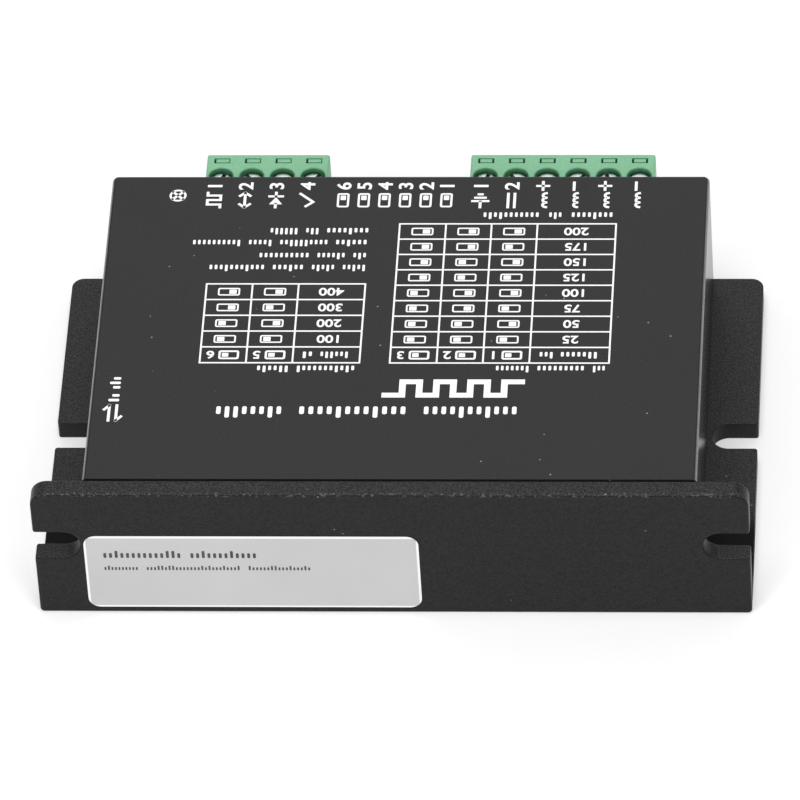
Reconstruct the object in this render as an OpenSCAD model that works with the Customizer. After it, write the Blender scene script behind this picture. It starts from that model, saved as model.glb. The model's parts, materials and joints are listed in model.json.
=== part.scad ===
// Stepper driver module: an L-shaped heatsink base, a folded sheet cover, the circuit board under it,
// two pluggable screw terminals, a six-way slide switch, a power light and a six-way serial jack.
// Origin at the centre of the base's underside. +X runs along the length, +Y towards the connectors
// and +Z up. Millimetres.

/* [Heatsink base] */
// Length of the base
base_len = 86; // [85:0.5:88]
// Depth of the base, from the wall's front face to the rear edge
base_dep = 55.5; // [55:0.5:57]
// Height of the front wall
wall_h = 20; // [20:0.5:22]
// Thickness of the base plate and of the front wall
base_t = 2.5; // [2.3:0.1:2.6]
// Radius of the wall's two upper corners
wall_corner_r = 2; // [1:0.5:3]
// Radius of the plate's two rear corners
plate_corner_r = 1.5; // [0.5:0.5:3]
// Rounding of the long edges
edge_r = 0.5; // [0.3:0.1:0.8]

/* [Mounting slots] */
// Width of the open-ended slots
slot_w = 4.2; // [4.1:0.1:4.6]
// Distance between the centres of the slots' round ends
slot_spacing = 79; // [78:0.5:80]
// Position along Y of the two slots in the plate
plate_slot_y = 0; // [-2:0.25:2]
// Height of the two slots in the wall
wall_slot_z = 11.4; // [10:0.1:12.5]

/* [Cover] */
// Length of the cover
cover_len = 73.6; // [73:0.1:74]
// Thickness of the cover sheet
cover_t = 0.7; // [0.6:0.1:0.9]
// Gap between the cover's front edge and the wall
cover_gap = 0.1; // [0.05:0.05:0.2]
// How far the cover's rear face stands behind the base's rear edge
cover_overhang = 0.1; // [0.1:0.1:0.6]
// Outside radius of the top bends
bend_r = 0.5; // [0.5:0.1:1.2]
// Outside radius of the upright rear corners
rear_corner_r = 0.8; // [0.5:0.1:1.6]

/* [Label] */
// Size of the label, along X and Z
label_size = [40.3, 12]; // [10:0.1:41]
// Thickness of the label
label_t = 0.12; // [0.05:0.01:0.2]
// Centre of the label, along X and Z
label_at = [-16.85, 7]; // [-17:0.05:12]
// Corner radius of the label
label_r = 1.5; // [0.5:0.1:3]

/* [Circuit board] */
// Size of the board, along X and Y
board_size = [71, 50.8]; // [50.5:0.1:71]
// Thickness of the board
board_t = 1.6; // [1.5:0.1:1.6]
// Height of the spacers under the board
spacer_h = 2.5; // [2.5:0.1:2.6]

/* [Terminals] */
// Distance between neighbouring poles
pitch = 3.81; // [3.8:0.01:3.82]
// Centre of the signal terminal along X
signal_x = -18.3; // [-18.5:0.1:-18.1]
// Centre of the power terminal along X
power_x = 18.3; // [18.1:0.1:18.5]
// How far the plugs stand out behind the cover
plug_reach = 8.7; // [8.6:0.1:9.4]
// Height of the plugs
plug_h = 11.1; // [11:0.1:11.2]
// Lift of the wire clamps from open to closed
clamp_lift = 2; // [1:0.1:2]

/* [Switch bank] */
// Distance between neighbouring switches
switch_pitch = 2.54; // [2.5:0.01:2.54]
// Centre of the switch bank along X
switch_x = -1.75; // [-1.9:0.05:-1.6]
// Travel of a slider from off to on
switch_travel = 1.6; // [1:0.1:1.6]

/* [Serial jack] */
// Centre of the jack along Y
jack_y = -11; // [-11.5:0.1:-10.5]
// Width of the jack, along Y
jack_w = 13.2; // [13:0.1:13.4]
// Height of the jack above the board
jack_h = 11.4; // [11.2:0.1:11.6]
// Depth of the jack, along X
jack_dep = 16; // [15:0.5:17]

/* [Power light] */
// Centre of the light along X
led_x = -29.3; // [-29.5:0.1:-29.2]
// Radius of the light's lens
led_r = 1.5; // [1.4:0.1:1.5]

/* [Hidden] */

// Circles are exact in the finished part; this only sets how they are previewed
$fn = 48;
// Overshoot of a cutting shape past the face it opens
over = 1;

// Poles and switches, each of which has nodes of its own in the list above
signal_poles = 4;
power_poles = 6;
switch_count = 6;

// Main planes
rear_y = base_dep / 2;
front_y = -rear_y;
wall_y = front_y + base_t;
cover_x = cover_len / 2;
face_y = rear_y + cover_overhang;
cover_y = [wall_y + cover_gap, face_y];
cover_z = [base_t, wall_h];
board_z = base_t + spacer_h;
board_top = board_z + board_t;
board_y = [wall_y + 0.6, wall_y + 0.6 + board_size[1]];

// Fasteners: the board on four spacers, the cover by four tabs
board_screw_at = [[-32, -21.4], [32, -21.4], [-32, 14], [32, 14]];
board_screw_r = 1.48;
board_hole_r = 1.5;
spacer_r = 2.75;
cover_screw_at = [[-32.6, -6], [32.6, -6], [-32.6, 22.5], [32.6, 22.5]];
cover_screw_r = 1.23;
cover_hole_r = 1.35;
sink_r = 2.5;
sink_h = 1.15;
tab_half = 3.4;
tab_reach = 7;

// Terminals: a header on the board and a plug in it
header_wall = 0.75;
header_dep = 9.2;
header_h = 7.25;
header_back = 1.3;
header_y = [rear_y - header_dep, rear_y];
header_z = [board_top, board_top + header_h];
pin_half = 0.4;
pin_z = board_top + 3.3;
pin_end_y = rear_y - 0.9;
leg_y = header_y[0] - 1;
plug_gap = 0.2;
plug_y = [face_y + plug_gap, rear_y + plug_reach];
plug_z = [board_top - 2.2, board_top - 2.2 + plug_h];
nose_y = rear_y - 6.8;
nose_z = [header_z[0] + header_wall + 0.15, header_z[1] - header_wall - 0.15];
screw_y = plug_y[1] - 4;
screw_hole_r = 1.5;
screw_head_r = 1.3;
screw_head_z = [plug_z[1] - 2.1, plug_z[1] - 0.7];
screw_r = 1;
screw_fit = 0.05;
bar_z = [plug_z[0] + 3.3, plug_z[0] + 4.1];
clamp_half = [1.5, 1.5];
clamp_t = 0.4;
clamp_z = [bar_z[0] - 2.1 - clamp_t, bar_z[1] + 0.1 + 2 * clamp_t];

// Switch bank
switch_half = switch_count * switch_pitch / 2 + 0.05;
switch_y = [rear_y - 6.4, rear_y];
switch_z = [board_top, board_top + 7];
switch_mid_z = board_top + 3.5;
nub_half = [0.6, 0.8];
nub_out = 0.8;

// Serial jack
jack_x = -cover_x + cover_t + 0.1;
jack_z = [board_top, board_top + jack_h];
port_half = 4.95;
port_z = [board_top + 2, board_top + 9];
wire_count = 6;
wire_pitch = 1.02;
wire_t = 0.45;
leg_x = jack_x + 14.15;

// Rear and side windows in the cover
rear_window_x = [
    signal_x - header_half(signal_poles) - 0.3,
    power_x + header_half(power_poles) + 0.3
];
rear_window_z = [board_top - 0.2, header_z[1] + 0.25];
led_z = board_top + 3.6;
led_tip_y = face_y + 0.4;

// Centre of a pole, counted from 1 at the -X end of its row
function pole_x(centre, poles, i) = centre + (i - (poles + 1) / 2) * pitch;
// Half the outside length of a header with this many poles
function header_half(poles) = (poles * pitch + 1.39) / 2;
// Half the length of a plug with this many poles
function plug_half(poles) = poles * pitch / 2;
// Centre of a switch, counted from 1 at the +X end of the bank
function switch_at(i) = switch_x + ((switch_count + 1) / 2 - i) * switch_pitch;
// Centre of a jack wire, counted from 1 at the -Y side
function wire_at(i) = jack_y + (i - (wire_count + 1) / 2) * wire_pitch;

// A box given by its low and high X, Y and Z
module span(x, y, z) {
    translate([x[0], y[0], z[0]])
        cube([x[1] - x[0], y[1] - y[0], z[1] - z[0]]);
}

// A box centred on one point of the XY plane, from one height to another
module post(at, half, z) {
    span([at[0] - half[0], at[0] + half[0]], [at[1] - half[1], at[1] + half[1]], z);
}

// A round rod or cutter along Z
module rod(at, r, z) {
    translate([at[0], at[1], z[0]])
        cylinder(h = z[1] - z[0], r = r);
}

// A flat rectangle from low to high corner, with its own radius at each corner:
// low X low Y, high X low Y, high X high Y, low X high Y. A radius of 0 leaves it sharp.
module rounded(low, high, radii) {
    corners = [low, [high[0], low[1]], high, [low[0], high[1]]];
    inward = [[1, 1], [-1, 1], [-1, -1], [1, -1]];
    difference() {
        translate(low)
            square(high - low);
        for (i = [0:3])
            if (radii[i] > 0)
                translate(corners[i])
                    rotate(i * 90)
                        difference() {
                            square(2 * radii[i], center = true);
                            translate([radii[i], radii[i]])
                                circle(radii[i]);
                            translate([radii[i], -radii[i]])
                                square(2 * radii[i]);
                            translate([-radii[i], radii[i]])
                                square(2 * radii[i]);
                        }
    }
}

// Lifts a flat shape drawn in X and Z, and gives it depth along Y
module along_y(y) {
    translate([0, y[1], 0])
        rotate([90, 0, 0])
            linear_extrude(y[1] - y[0])
                children();
}

// Lifts a flat shape drawn in Y and Z, and gives it length along X
module along_x(x) {
    translate([x[0], 0, 0])
        rotate([90, 0, 90])
            linear_extrude(x[1] - x[0])
                children();
}

// A cross recess cut from a height downwards
module cross_recess(at, reach, w, z) {
    post(at, [reach, w / 2], z);
    post(at, [w / 2, reach], z);
}

// ---- Base, cover and what holds them ----

module heatsink_profile() {
    rounded([front_y, 0], [rear_y, base_t], [0, edge_r / 2, edge_r, 0]);
    rounded([front_y, 0], [wall_y, wall_h], [edge_r, 0, edge_r, edge_r]);
}

module plate_slot(side) {
    translate([side * slot_spacing / 2, plate_slot_y, -over])
        cylinder(h = base_t + 2 * over, r = slot_w / 2);
    translate([side * slot_spacing / 2 - (side < 0 ? base_len : 0), plate_slot_y - slot_w / 2, -over])
        cube([base_len, slot_w, base_t + 2 * over]);
}

module wall_slot(side) {
    translate([side * slot_spacing / 2, wall_y + over, wall_slot_z])
        rotate([90, 0, 0])
            cylinder(h = base_t + 2 * over, r = slot_w / 2);
    translate([side * slot_spacing / 2 - (side < 0 ? base_len : 0), front_y - over, wall_slot_z - slot_w / 2])
        cube([base_len, base_t + 2 * over, slot_w]);
}

module heatsink_base() {
    half = base_len / 2;
    color([0.13, 0.13, 0.14])
        difference() {
            intersection() {
                along_x([-half, half])
                    heatsink_profile();
                linear_extrude(wall_h)
                    rounded([-half, front_y], [half, rear_y], [0, 0, plate_corner_r, plate_corner_r]);
                along_y([front_y, rear_y])
                    rounded([-half, 0], [half, wall_h], [0, 0, wall_corner_r, wall_corner_r]);
            }
            for (side = [-1, 1]) {
                plate_slot(side);
                wall_slot(side);
            }
            for (at = board_screw_at)
                rod(at, board_hole_r, [-over, base_t + over]);
            for (at = cover_screw_at) {
                rod(at, cover_hole_r, [-over, base_t + over]);
                translate([at[0], at[1], 0])
                    cylinder(h = sink_h, r1 = sink_r, r2 = cover_hole_r);
            }
        }
}

// The cover's outline, solid: the sheet's outside for inset 0, its inside for inset cover_t
module cover_block(inset, front, z) {
    x = cover_x - inset;
    rear = cover_y[1] - inset;
    top_r = max(0, bend_r - inset);
    back_r = max(0, rear_corner_r - inset);
    intersection() {
        along_y([front, rear])
            rounded([-x, z[0]], [x, z[1]], [0, 0, top_r, top_r]);
        translate([0, 0, z[0]])
            linear_extrude(z[1] - z[0])
                rounded([-x, front], [x, rear], [0, 0, back_r, back_r]);
        along_x([-x, x])
            rounded([front, z[0]], [rear, z[1]], [0, 0, top_r, 0]);
    }
}

module cover() {
    inner_x = cover_x - cover_t;
    color([0.24, 0.24, 0.25])
        difference() {
            union() {
                difference() {
                    cover_block(0, cover_y[0], cover_z);
                    cover_block(cover_t, cover_y[0] - over, [cover_z[0] - over, cover_z[1] - cover_t]);
                }
                for (at = cover_screw_at) {
                    side = sign(at[0]);
                    tab_x = side < 0
                        ? [-inner_x - cover_t / 2, -inner_x - cover_t / 2 + tab_reach]
                        : [inner_x + cover_t / 2 - tab_reach, inner_x + cover_t / 2];
                    span(tab_x, [at[1] - tab_half, at[1] + tab_half], [cover_z[0], cover_z[0] + cover_t]);
                }
            }
            span(rear_window_x, [face_y - cover_t - over, face_y + over], rear_window_z);
            span([-cover_x - over, -inner_x + over], [jack_y - jack_w / 2 - 0.4, jack_y + jack_w / 2 + 0.4],
                 [jack_z[0] - 0.3, jack_z[1] + 0.3]);
            translate([led_x, face_y + over, led_z])
                rotate([90, 0, 0])
                    cylinder(h = cover_t + 2 * over, r = led_r + 0.1);
            for (at = cover_screw_at)
                rod(at, cover_screw_r + 0.02, [cover_z[0] - over, cover_z[0] + cover_t + over]);
        }
}

module label() {
    half = label_size / 2;
    color([0.8, 0.8, 0.81])
        along_y([front_y - label_t, front_y])
            rounded(label_at - half, label_at + half, [label_r, label_r, label_r, label_r]);
}

module cover_screws() {
    color([0.2, 0.2, 0.21])
        for (at = cover_screw_at)
            difference() {
                union() {
                    translate([at[0], at[1], 0.05])
                        cylinder(h = sink_h - 0.05, r1 = sink_r - 0.12, r2 = cover_screw_r);
                    rod(at, cover_screw_r, [sink_h - 0.1, board_z - 0.4]);
                }
                cross_recess(at, 1.25, 0.55, [-over, 0.75]);
            }
}

// ---- Circuit board and what stands on it ----

capacitor_at = [[11.5, 11.6], [23, 11.6]];
capacitor_r = 5;
capacitor_h = 12;
capacitor_lead = 2.5;
mosfet_at = [for (row = [-19.5, -8.5], x = [-9, 0, 9, 18]) [x, row]];
mosfet_half = [3.3, 3.05];
pad_size = [38, 23];
pad_at = [4.5, -13];
pad_t = 0.5;
film_t = 0.15;
film_half_x = 28.4;
gate_driver_at = [for (x = [-7, 4, 15, 26]) [x, -19]];
optocoupler_at = [for (i = [1:3]) [pole_x(signal_x, signal_poles, i) - 0.6 + i, 9.5]];
resistor_at = [for (x = [-1.5, 9.5, 20.5]) [x, -11.5]];
chip_at = [-4.5, 0.5];
crystal_at = [-4.5, 13];
regulator_at = [13, -2];
inductor_at = [25.5, -2.5];
passive_at = [
    for (i = [0:5]) [-16 + 1.7 * i, -6.5],
    for (i = [0:4]) [-16.5, -3.5 + 2.2 * i],
    for (i = [0:3]) [5.5, -4 + 2.2 * i],
    for (i = [0:5]) [-26 + 2.6 * i, 5],
    for (i = [0:3]) [-11 + 9 * i, -15.2]
];
led_lead_x = [led_x - 1.27, led_x + 1.27];
led_lead_y = rear_y - 6.5;
peg_at = [[jack_x + 7, jack_y - 5], [jack_x + 7, jack_y + 5]];
peg_r = 1.5;
switch_pin_y = [switch_y[0] + 1.4, switch_y[0] + 3.94];

module circuit_board() {
    half = board_size[0] / 2;
    color([0.05, 0.3, 0.16])
        difference() {
            translate([0, 0, board_z])
                linear_extrude(board_t)
                    rounded([-half, board_y[0]], [half, board_y[1]], [1, 1, 1, 1]);
            for (at = board_screw_at)
                rod(at, board_hole_r + 0.1, [board_z - over, board_top + over]);
            for (i = [1:signal_poles])
                board_hole([pole_x(signal_x, signal_poles, i), leg_y], 0.62);
            for (i = [1:power_poles])
                board_hole([pole_x(power_x, power_poles, i), leg_y], 0.62);
            for (i = [1:switch_count], y = switch_pin_y)
                board_hole([switch_at(i), y], 0.35);
            for (at = capacitor_at, side = [-1, 1])
                board_hole([at[0] + side * capacitor_lead, at[1]], 0.4);
            for (x = led_lead_x)
                board_hole([x, led_lead_y], 0.4);
            for (at = peg_at)
                board_hole(at, peg_r + 0.05);
            for (i = [1:wire_count])
                board_hole([leg_x, wire_at(i)], 0.36);
        }
}

module board_hole(at, r) {
    rod(at, r, [board_z - over, board_top + over]);
}

module board_spacers() {
    color([0.75, 0.72, 0.6])
        for (at = board_screw_at)
            difference() {
                rod(at, spacer_r, [base_t, board_z]);
                rod(at, board_hole_r + 0.1, [base_t - over, board_z + over]);
            }
}

module board_screws() {
    color([0.75, 0.75, 0.77])
        for (at = board_screw_at)
            difference() {
                union() {
                    rod(at, board_screw_r, [0.4, board_top + 0.5]);
                    rod(at, spacer_r, [board_top, board_top + 1.8]);
                }
                cross_recess(at, 1.5, 0.6, [board_top + 0.7, board_top + 1.8 + over]);
            }
}

module insulation_sheet() {
    color([0.85, 0.8, 0.5])
        difference() {
            span([-film_half_x, film_half_x], board_y, [base_t, base_t + film_t]);
            translate([pad_at[0], pad_at[1], 0])
                post([0, 0], pad_size / 2 + [0.5, 0.5], [0, board_z]);
        }
}

module thermal_pad() {
    color([0.6, 0.65, 0.72])
        post(pad_at, pad_size / 2, [base_t, base_t + pad_t]);
}

// One power transistor, upside down under the board: a block, a tab at one end and two leads
module power_mosfet(at) {
    z = [base_t + pad_t, board_z];
    post(at, mosfet_half, z);
    post([at[0], at[1] + mosfet_half[1] + 0.5], [2.6, 0.5], [z[1] - 0.5, z[1]]);
    for (side = [-1, 1])
        post([at[0] + side * 2.28, at[1] - mosfet_half[1] - 0.6], [0.4, 0.6], [z[1] - 0.5, z[1]]);
}

module power_mosfets() {
    color([0.12, 0.12, 0.12])
        for (at = mosfet_at)
            power_mosfet(at);
}

// A chip with leads along the two sides that face X
module two_row_chip(at, half, h, leads, lead_pitch) {
    z = board_top;
    post(at, half, [z + 0.1, z + h]);
    for (side = [-1, 1], i = [1:leads])
        post([at[0] + side * (half[0] + 0.45), at[1] + (i - (leads + 1) / 2) * lead_pitch],
             [0.45, lead_pitch / 6], [z, z + h / 2]);
}

module gate_drivers() {
    color([0.14, 0.14, 0.15])
        for (at = gate_driver_at)
            two_row_chip(at, [1.95, 2.45], 1.6, 4, 1.27);
}

module optocouplers() {
    color([0.16, 0.16, 0.17])
        for (at = optocoupler_at)
            two_row_chip(at, [1.6, 2.2], 2.1, 3, 1.27);
}

module controller_chip() {
    side_leads = 11;
    color([0.1, 0.1, 0.11]) {
        two_row_chip(chip_at, [5, 5], 1.5, side_leads, 0.8);
        for (side = [-1, 1], i = [1:side_leads])
            post([chip_at[0] + (i - (side_leads + 1) / 2) * 0.8, chip_at[1] + side * 5.45],
                 [0.13, 0.45], [board_top, board_top + 0.75]);
    }
}

module crystal() {
    color([0.78, 0.78, 0.76])
        translate([0, 0, board_top])
            linear_extrude(3.6)
                rounded(crystal_at - [5.3, 2.2], crystal_at + [5.3, 2.2], [2.1, 2.1, 2.1, 2.1]);
}

module voltage_regulator() {
    color([0.15, 0.15, 0.16]) {
        post(regulator_at, [3.25, 1.75], [board_top + 0.1, board_top + 1.7]);
        post([regulator_at[0], regulator_at[1] + 2.4], [1.5, 0.7], [board_top, board_top + 0.6]);
        for (i = [-1:1])
            post([regulator_at[0] + i * 2.3, regulator_at[1] - 2.4], [0.35, 0.7], [board_top, board_top + 0.6]);
    }
}

module sense_resistors() {
    color([0.2, 0.2, 0.2])
        for (at = resistor_at)
            post(at, [3.2, 1.6], [board_top, board_top + 0.7]);
}

module power_inductor() {
    color([0.2, 0.2, 0.21])
        translate([0, 0, board_top])
            linear_extrude(4.5)
                rounded(inductor_at - [4, 4], inductor_at + [4, 4], [1.4, 1.4, 1.4, 1.4]);
}

module bulk_capacitors() {
    groove_r = 0.35;
    color([0.15, 0.16, 0.25])
        for (at = capacitor_at) {
            translate([at[0], at[1], board_top])
                difference() {
                    cylinder(h = capacitor_h, r = capacitor_r);
                    translate([0, 0, 1.8])
                        rotate_extrude()
                            translate([capacitor_r + 0.1, 0])
                                circle(groove_r);
                    translate([0, 0, capacitor_h])
                        cross_recess([0, 0], 2.6, 0.3, [-0.2, over]);
                }
            for (side = [-1, 1])
                rod([at[0] + side * capacitor_lead, at[1]], 0.3, [board_z - 0.9, board_top + 0.1]);
        }
}

module small_passives() {
    color([0.6, 0.5, 0.38])
        for (at = passive_at)
            post(at, [0.6, 1], [board_top, board_top + 0.8]);
}

// ---- Terminals ----

module header(centre, poles) {
    half = header_half(poles);
    inner = half - header_wall;
    difference() {
        span([centre - half, centre + half], header_y, header_z);
        span([centre - inner, centre + inner], [header_y[0] + header_back, rear_y + over],
             [header_z[0] + header_wall, header_z[1] - header_wall]);
        for (i = [1:poles])
            span([pole_x(centre, poles, i) - pin_half - 0.02, pole_x(centre, poles, i) + pin_half + 0.02],
                 [header_y[0] - over, header_y[0] + header_back + over],
                 [pin_z - pin_half - 0.02, pin_z + pin_half + 0.02]);
    }
}

module header_pins(centre, poles) {
    for (i = [1:poles]) {
        x = [pole_x(centre, poles, i) - pin_half, pole_x(centre, poles, i) + pin_half];
        span(x, [leg_y - pin_half, pin_end_y], [pin_z - pin_half, pin_z + pin_half]);
        span(x, [leg_y - pin_half, leg_y + pin_half], [board_z - 1.3, pin_z + pin_half]);
    }
}

// The room inside a plug for one pole: nose channel, clamp chamber, screw hole, wire entry and
// a test window beside the outer face
module pole_room(x) {
    span([x - 1.15, x + 1.15], [nose_y - over, screw_y - 1.7], [pin_z - 1.3, pin_z + 1.4]);
    span([x - 1.15, x + 1.15], [screw_y - 4.2, screw_y - 1.7], [bar_z[0] - 0.1, pin_z + 1.4]);
    span([x - clamp_half[0] - 0.1, x + clamp_half[0] + 0.1], [screw_y - 1.8, screw_y + 1.8],
         [clamp_z[0] - 0.1, clamp_z[1] + clamp_lift + 0.2]);
    rod([x, screw_y], screw_r + 0.1, [clamp_z[1], screw_head_z[0]]);
    rod([x, screw_y], screw_hole_r, [screw_head_z[0] - 0.05, plug_z[1] + over]);
    span([x - 1.3, x + 1.3], [screw_y + 1.7, plug_y[1] + over], [clamp_z[0] + 0.3, bar_z[1] - 0.1]);
    span([x - 1.55, x + 1.55], [plug_y[1] - 0.6, plug_y[1] + over], [clamp_z[0] + 0.05, bar_z[1] + 0.15]);
    span([x - 1, x + 1], [plug_y[1] - 1.65, plug_y[1] - 0.75], [plug_z[1] - 1.2, plug_z[1] + over]);
}

module plug_housing(centre, poles) {
    half = plug_half(poles);
    nose = header_half(poles) - header_wall - 0.16;
    difference() {
        union() {
            along_x([centre - half, centre + half])
                rounded([plug_y[0], plug_z[0]], [plug_y[1], plug_z[1]], [0.3, 0.6, 0.4, 0.3]);
            span([centre - nose, centre + nose], [nose_y, plug_y[0] + 0.1], nose_z);
        }
        for (i = [1:poles])
            pole_room(pole_x(centre, poles, i));
    }
}

// Spring contact of one pole: a bar under the screw, a riser, and two leaves beside the header pin
module contact(x) {
    bar = [x - 1, x + 1];
    leaf = [x - 0.8, x + 0.8];
    riser_y = [screw_y - 4, screw_y - 3.4];
    span(bar, [riser_y[0], screw_y + 1.6], bar_z);
    span(bar, riser_y, [bar_z[0], pin_z + 0.85]);
    for (side = [-1, 1]) {
        near = side * (pin_half + 0.15);
        far = side * (pin_half + 0.45);
        bump = side * (pin_half + 0.05);
        span(leaf, [nose_y + 0.5, riser_y[1]], pin_z_between(near, far));
        span(leaf, [nose_y + 1.4, nose_y + 2.4], pin_z_between(bump, far));
    }
}

// Low and high Z of a layer given by two distances from the pin's centre line
function pin_z_between(a, b) = [pin_z + min(a, b), pin_z + max(a, b)];

module contacts(centre, poles) {
    color([0.8, 0.78, 0.72])
        for (i = [1:poles])
            contact(pole_x(centre, poles, i));
}

// One terminal screw, its slot turned a different way on each pole
module terminal_screw(centre, poles, i) {
    at = [pole_x(centre, poles, i), screw_y];
    color([0.72, 0.73, 0.74])
        difference() {
            union() {
                rod(at, screw_head_r, screw_head_z);
                rod(at, screw_r, [bar_z[1] + screw_fit, screw_head_z[0] + 0.1]);
            }
            translate([at[0], at[1], 0])
                rotate(20 + 53 * i)
                    post([0, 0], [2, 0.25], [screw_head_z[1] - 0.7, screw_head_z[1] + over]);
        }
}

// One wire clamp: a square ring round the contact's bar, threaded on the screw at its top
module wire_clamp(centre, poles, i) {
    x = pole_x(centre, poles, i);
    color([0.7, 0.7, 0.68])
        difference() {
            span([x - clamp_half[0], x + clamp_half[0]], [screw_y - clamp_half[1], screw_y + clamp_half[1]], clamp_z);
            span([x - clamp_half[0] + clamp_t, x + clamp_half[0] - clamp_t], [screw_y - 2, screw_y + 2],
                 [clamp_z[0] + clamp_t, clamp_z[1] - 2 * clamp_t]);
            rod([x, screw_y], screw_r + screw_fit, [bar_z[1], clamp_z[1] + over]);
        }
}

module signal_header() {
    color([0.1, 0.5, 0.3]) header(signal_x, signal_poles);
}

module power_header() {
    color([0.1, 0.5, 0.3]) header(power_x, power_poles);
}

module signal_header_pins() {
    color([0.85, 0.82, 0.7]) header_pins(signal_x, signal_poles);
}

module power_header_pins() {
    color([0.85, 0.82, 0.7]) header_pins(power_x, power_poles);
}

module signal_plug_housing() {
    color([0.35, 0.72, 0.52]) plug_housing(signal_x, signal_poles);
}

module power_plug_housing() {
    color([0.35, 0.72, 0.52]) plug_housing(power_x, power_poles);
}

// ---- Switch bank ----

module switch_body() {
    color([0.1, 0.1, 0.11])
        difference() {
            span([switch_x - switch_half, switch_x + switch_half], switch_y, switch_z);
            for (i = [1:switch_count]) {
                x = switch_at(i);
                reach = nub_half[1] + switch_travel / 2 + 0.1;
                span([x - nub_half[0] - 0.1, x + nub_half[0] + 0.1], [switch_y[1] - 2, switch_y[1] + over],
                     [switch_mid_z - reach, switch_mid_z + reach]);
                span([x - 1, x + 1], [switch_y[1] - 2.7, switch_y[1] - 1.4],
                     [switch_mid_z - reach - 0.5, switch_mid_z + reach + 0.5]);
            }
        }
}

module switch_pins() {
    color([0.8, 0.8, 0.78])
        for (i = [1:switch_count], y = switch_pin_y)
            post([switch_at(i), y], [0.25, 0.15], [board_z - 1.1, board_top]);
}

// One slider, resting in its lower, off position
module switch_slider(i) {
    x = switch_at(i);
    z = switch_mid_z - switch_travel / 2;
    color([0.92, 0.92, 0.9]) {
        span([x - nub_half[0], x + nub_half[0]], [switch_y[1] - 1.6, switch_y[1] + nub_out],
             [z - nub_half[1], z + nub_half[1]]);
        span([x - 0.9, x + 0.9], [switch_y[1] - 2.6, switch_y[1] - 1.5], [z - 1.2, z + 1.2]);
    }
}

// ---- Power light ----

module status_led() {
    back = led_lead_y + 1.6;
    color([0.3, 0.8, 0.3])
        translate([led_x, 0, led_z])
            rotate([-90, 0, 0])
                union() {
                    translate([0, 0, back])
                        cylinder(h = 1, r = led_r + 0.4);
                    translate([0, 0, back])
                        cylinder(h = led_tip_y - led_r - back, r = led_r);
                    translate([0, 0, led_tip_y - led_r])
                        sphere(led_r);
                }
}

module led_leads() {
    half = 0.22;
    color([0.8, 0.8, 0.78])
        for (x = led_lead_x) {
            span([x - half, x + half], [led_lead_y - half, led_lead_y + 1.6], [led_z - half, led_z + half]);
            post([x, led_lead_y], [half, half], [board_z - 1, led_z + half]);
        }
}

// ---- Serial jack ----

module serial_jack() {
    wires_half = wire_count * wire_pitch / 2 + 0.4;
    color([0.12, 0.12, 0.13]) {
        difference() {
            span([jack_x, jack_x + jack_dep], [jack_y - jack_w / 2, jack_y + jack_w / 2], jack_z);
            span([jack_x - over, jack_x + 13], [jack_y - port_half, jack_y + port_half], port_z);
            span([jack_x - over, jack_x + 12], [jack_y - 3.1, jack_y + 3.1], [port_z[0] - 0.9, port_z[0] + 0.1]);
            span([jack_x - over, jack_x + 11], [jack_y - 1.7, jack_y + 1.7], [port_z[0] - 1.6, port_z[0]]);
            span([jack_x + 2.6, leg_x + 0.6], [jack_y - wires_half, jack_y + wires_half],
                 [port_z[1] - 0.1, port_z[1] + 1.5]);
            span([leg_x - 0.6, leg_x + 0.6], [jack_y - wires_half, jack_y + wires_half],
                 [jack_z[0] - over, port_z[1] + 1.5]);
        }
        for (at = peg_at)
            rod(at, peg_r, [board_z, board_top + 0.2]);
    }
}

// Six spring wires: up behind the port, forward over it, and back down into it on a slant
module serial_contacts() {
    top_z = port_z[1] + 0.5;
    front_x = jack_x + 3.2;
    slant = 28;
    color([0.9, 0.75, 0.35])
        for (i = [1:wire_count]) {
            y = [wire_at(i) - wire_t / 2, wire_at(i) + wire_t / 2];
            span([leg_x - wire_t / 2, leg_x + wire_t / 2], y, [board_z - 1, top_z + wire_t]);
            span([front_x, leg_x], y, [top_z, top_z + wire_t]);
            translate([front_x, y[0], top_z])
                rotate([0, slant, 0])
                    cube([6.5, wire_t, wire_t]);
        }
}

heatsink_base();
cover();
label();
insulation_sheet();
thermal_pad();
circuit_board();
board_spacers();
board_screws();
cover_screws();
bulk_capacitors();
power_mosfets();
gate_drivers();
controller_chip();
optocouplers();
crystal();
voltage_regulator();
sense_resistors();
power_inductor();
small_passives();
signal_header();
signal_header_pins();
power_header();
power_header_pins();
signal_plug_housing();
power_plug_housing();
contacts(signal_x, signal_poles);  // signal_contacts
contacts(power_x, power_poles);  // power_contacts
terminal_screw(signal_x, signal_poles, 1);  // signal_screw_1
terminal_screw(signal_x, signal_poles, 2);  // signal_screw_2
terminal_screw(signal_x, signal_poles, 3);  // signal_screw_3
terminal_screw(signal_x, signal_poles, 4);  // signal_screw_4
terminal_screw(power_x, power_poles, 1);  // power_screw_1
terminal_screw(power_x, power_poles, 2);  // power_screw_2
terminal_screw(power_x, power_poles, 3);  // power_screw_3
terminal_screw(power_x, power_poles, 4);  // power_screw_4
terminal_screw(power_x, power_poles, 5);  // power_screw_5
terminal_screw(power_x, power_poles, 6);  // power_screw_6
wire_clamp(signal_x, signal_poles, 1);  // signal_clamp_1
wire_clamp(signal_x, signal_poles, 2);  // signal_clamp_2
wire_clamp(signal_x, signal_poles, 3);  // signal_clamp_3
wire_clamp(signal_x, signal_poles, 4);  // signal_clamp_4
wire_clamp(power_x, power_poles, 1);  // power_clamp_1
wire_clamp(power_x, power_poles, 2);  // power_clamp_2
wire_clamp(power_x, power_poles, 3);  // power_clamp_3
wire_clamp(power_x, power_poles, 4);  // power_clamp_4
wire_clamp(power_x, power_poles, 5);  // power_clamp_5
wire_clamp(power_x, power_poles, 6);  // power_clamp_6
switch_body();
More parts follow.
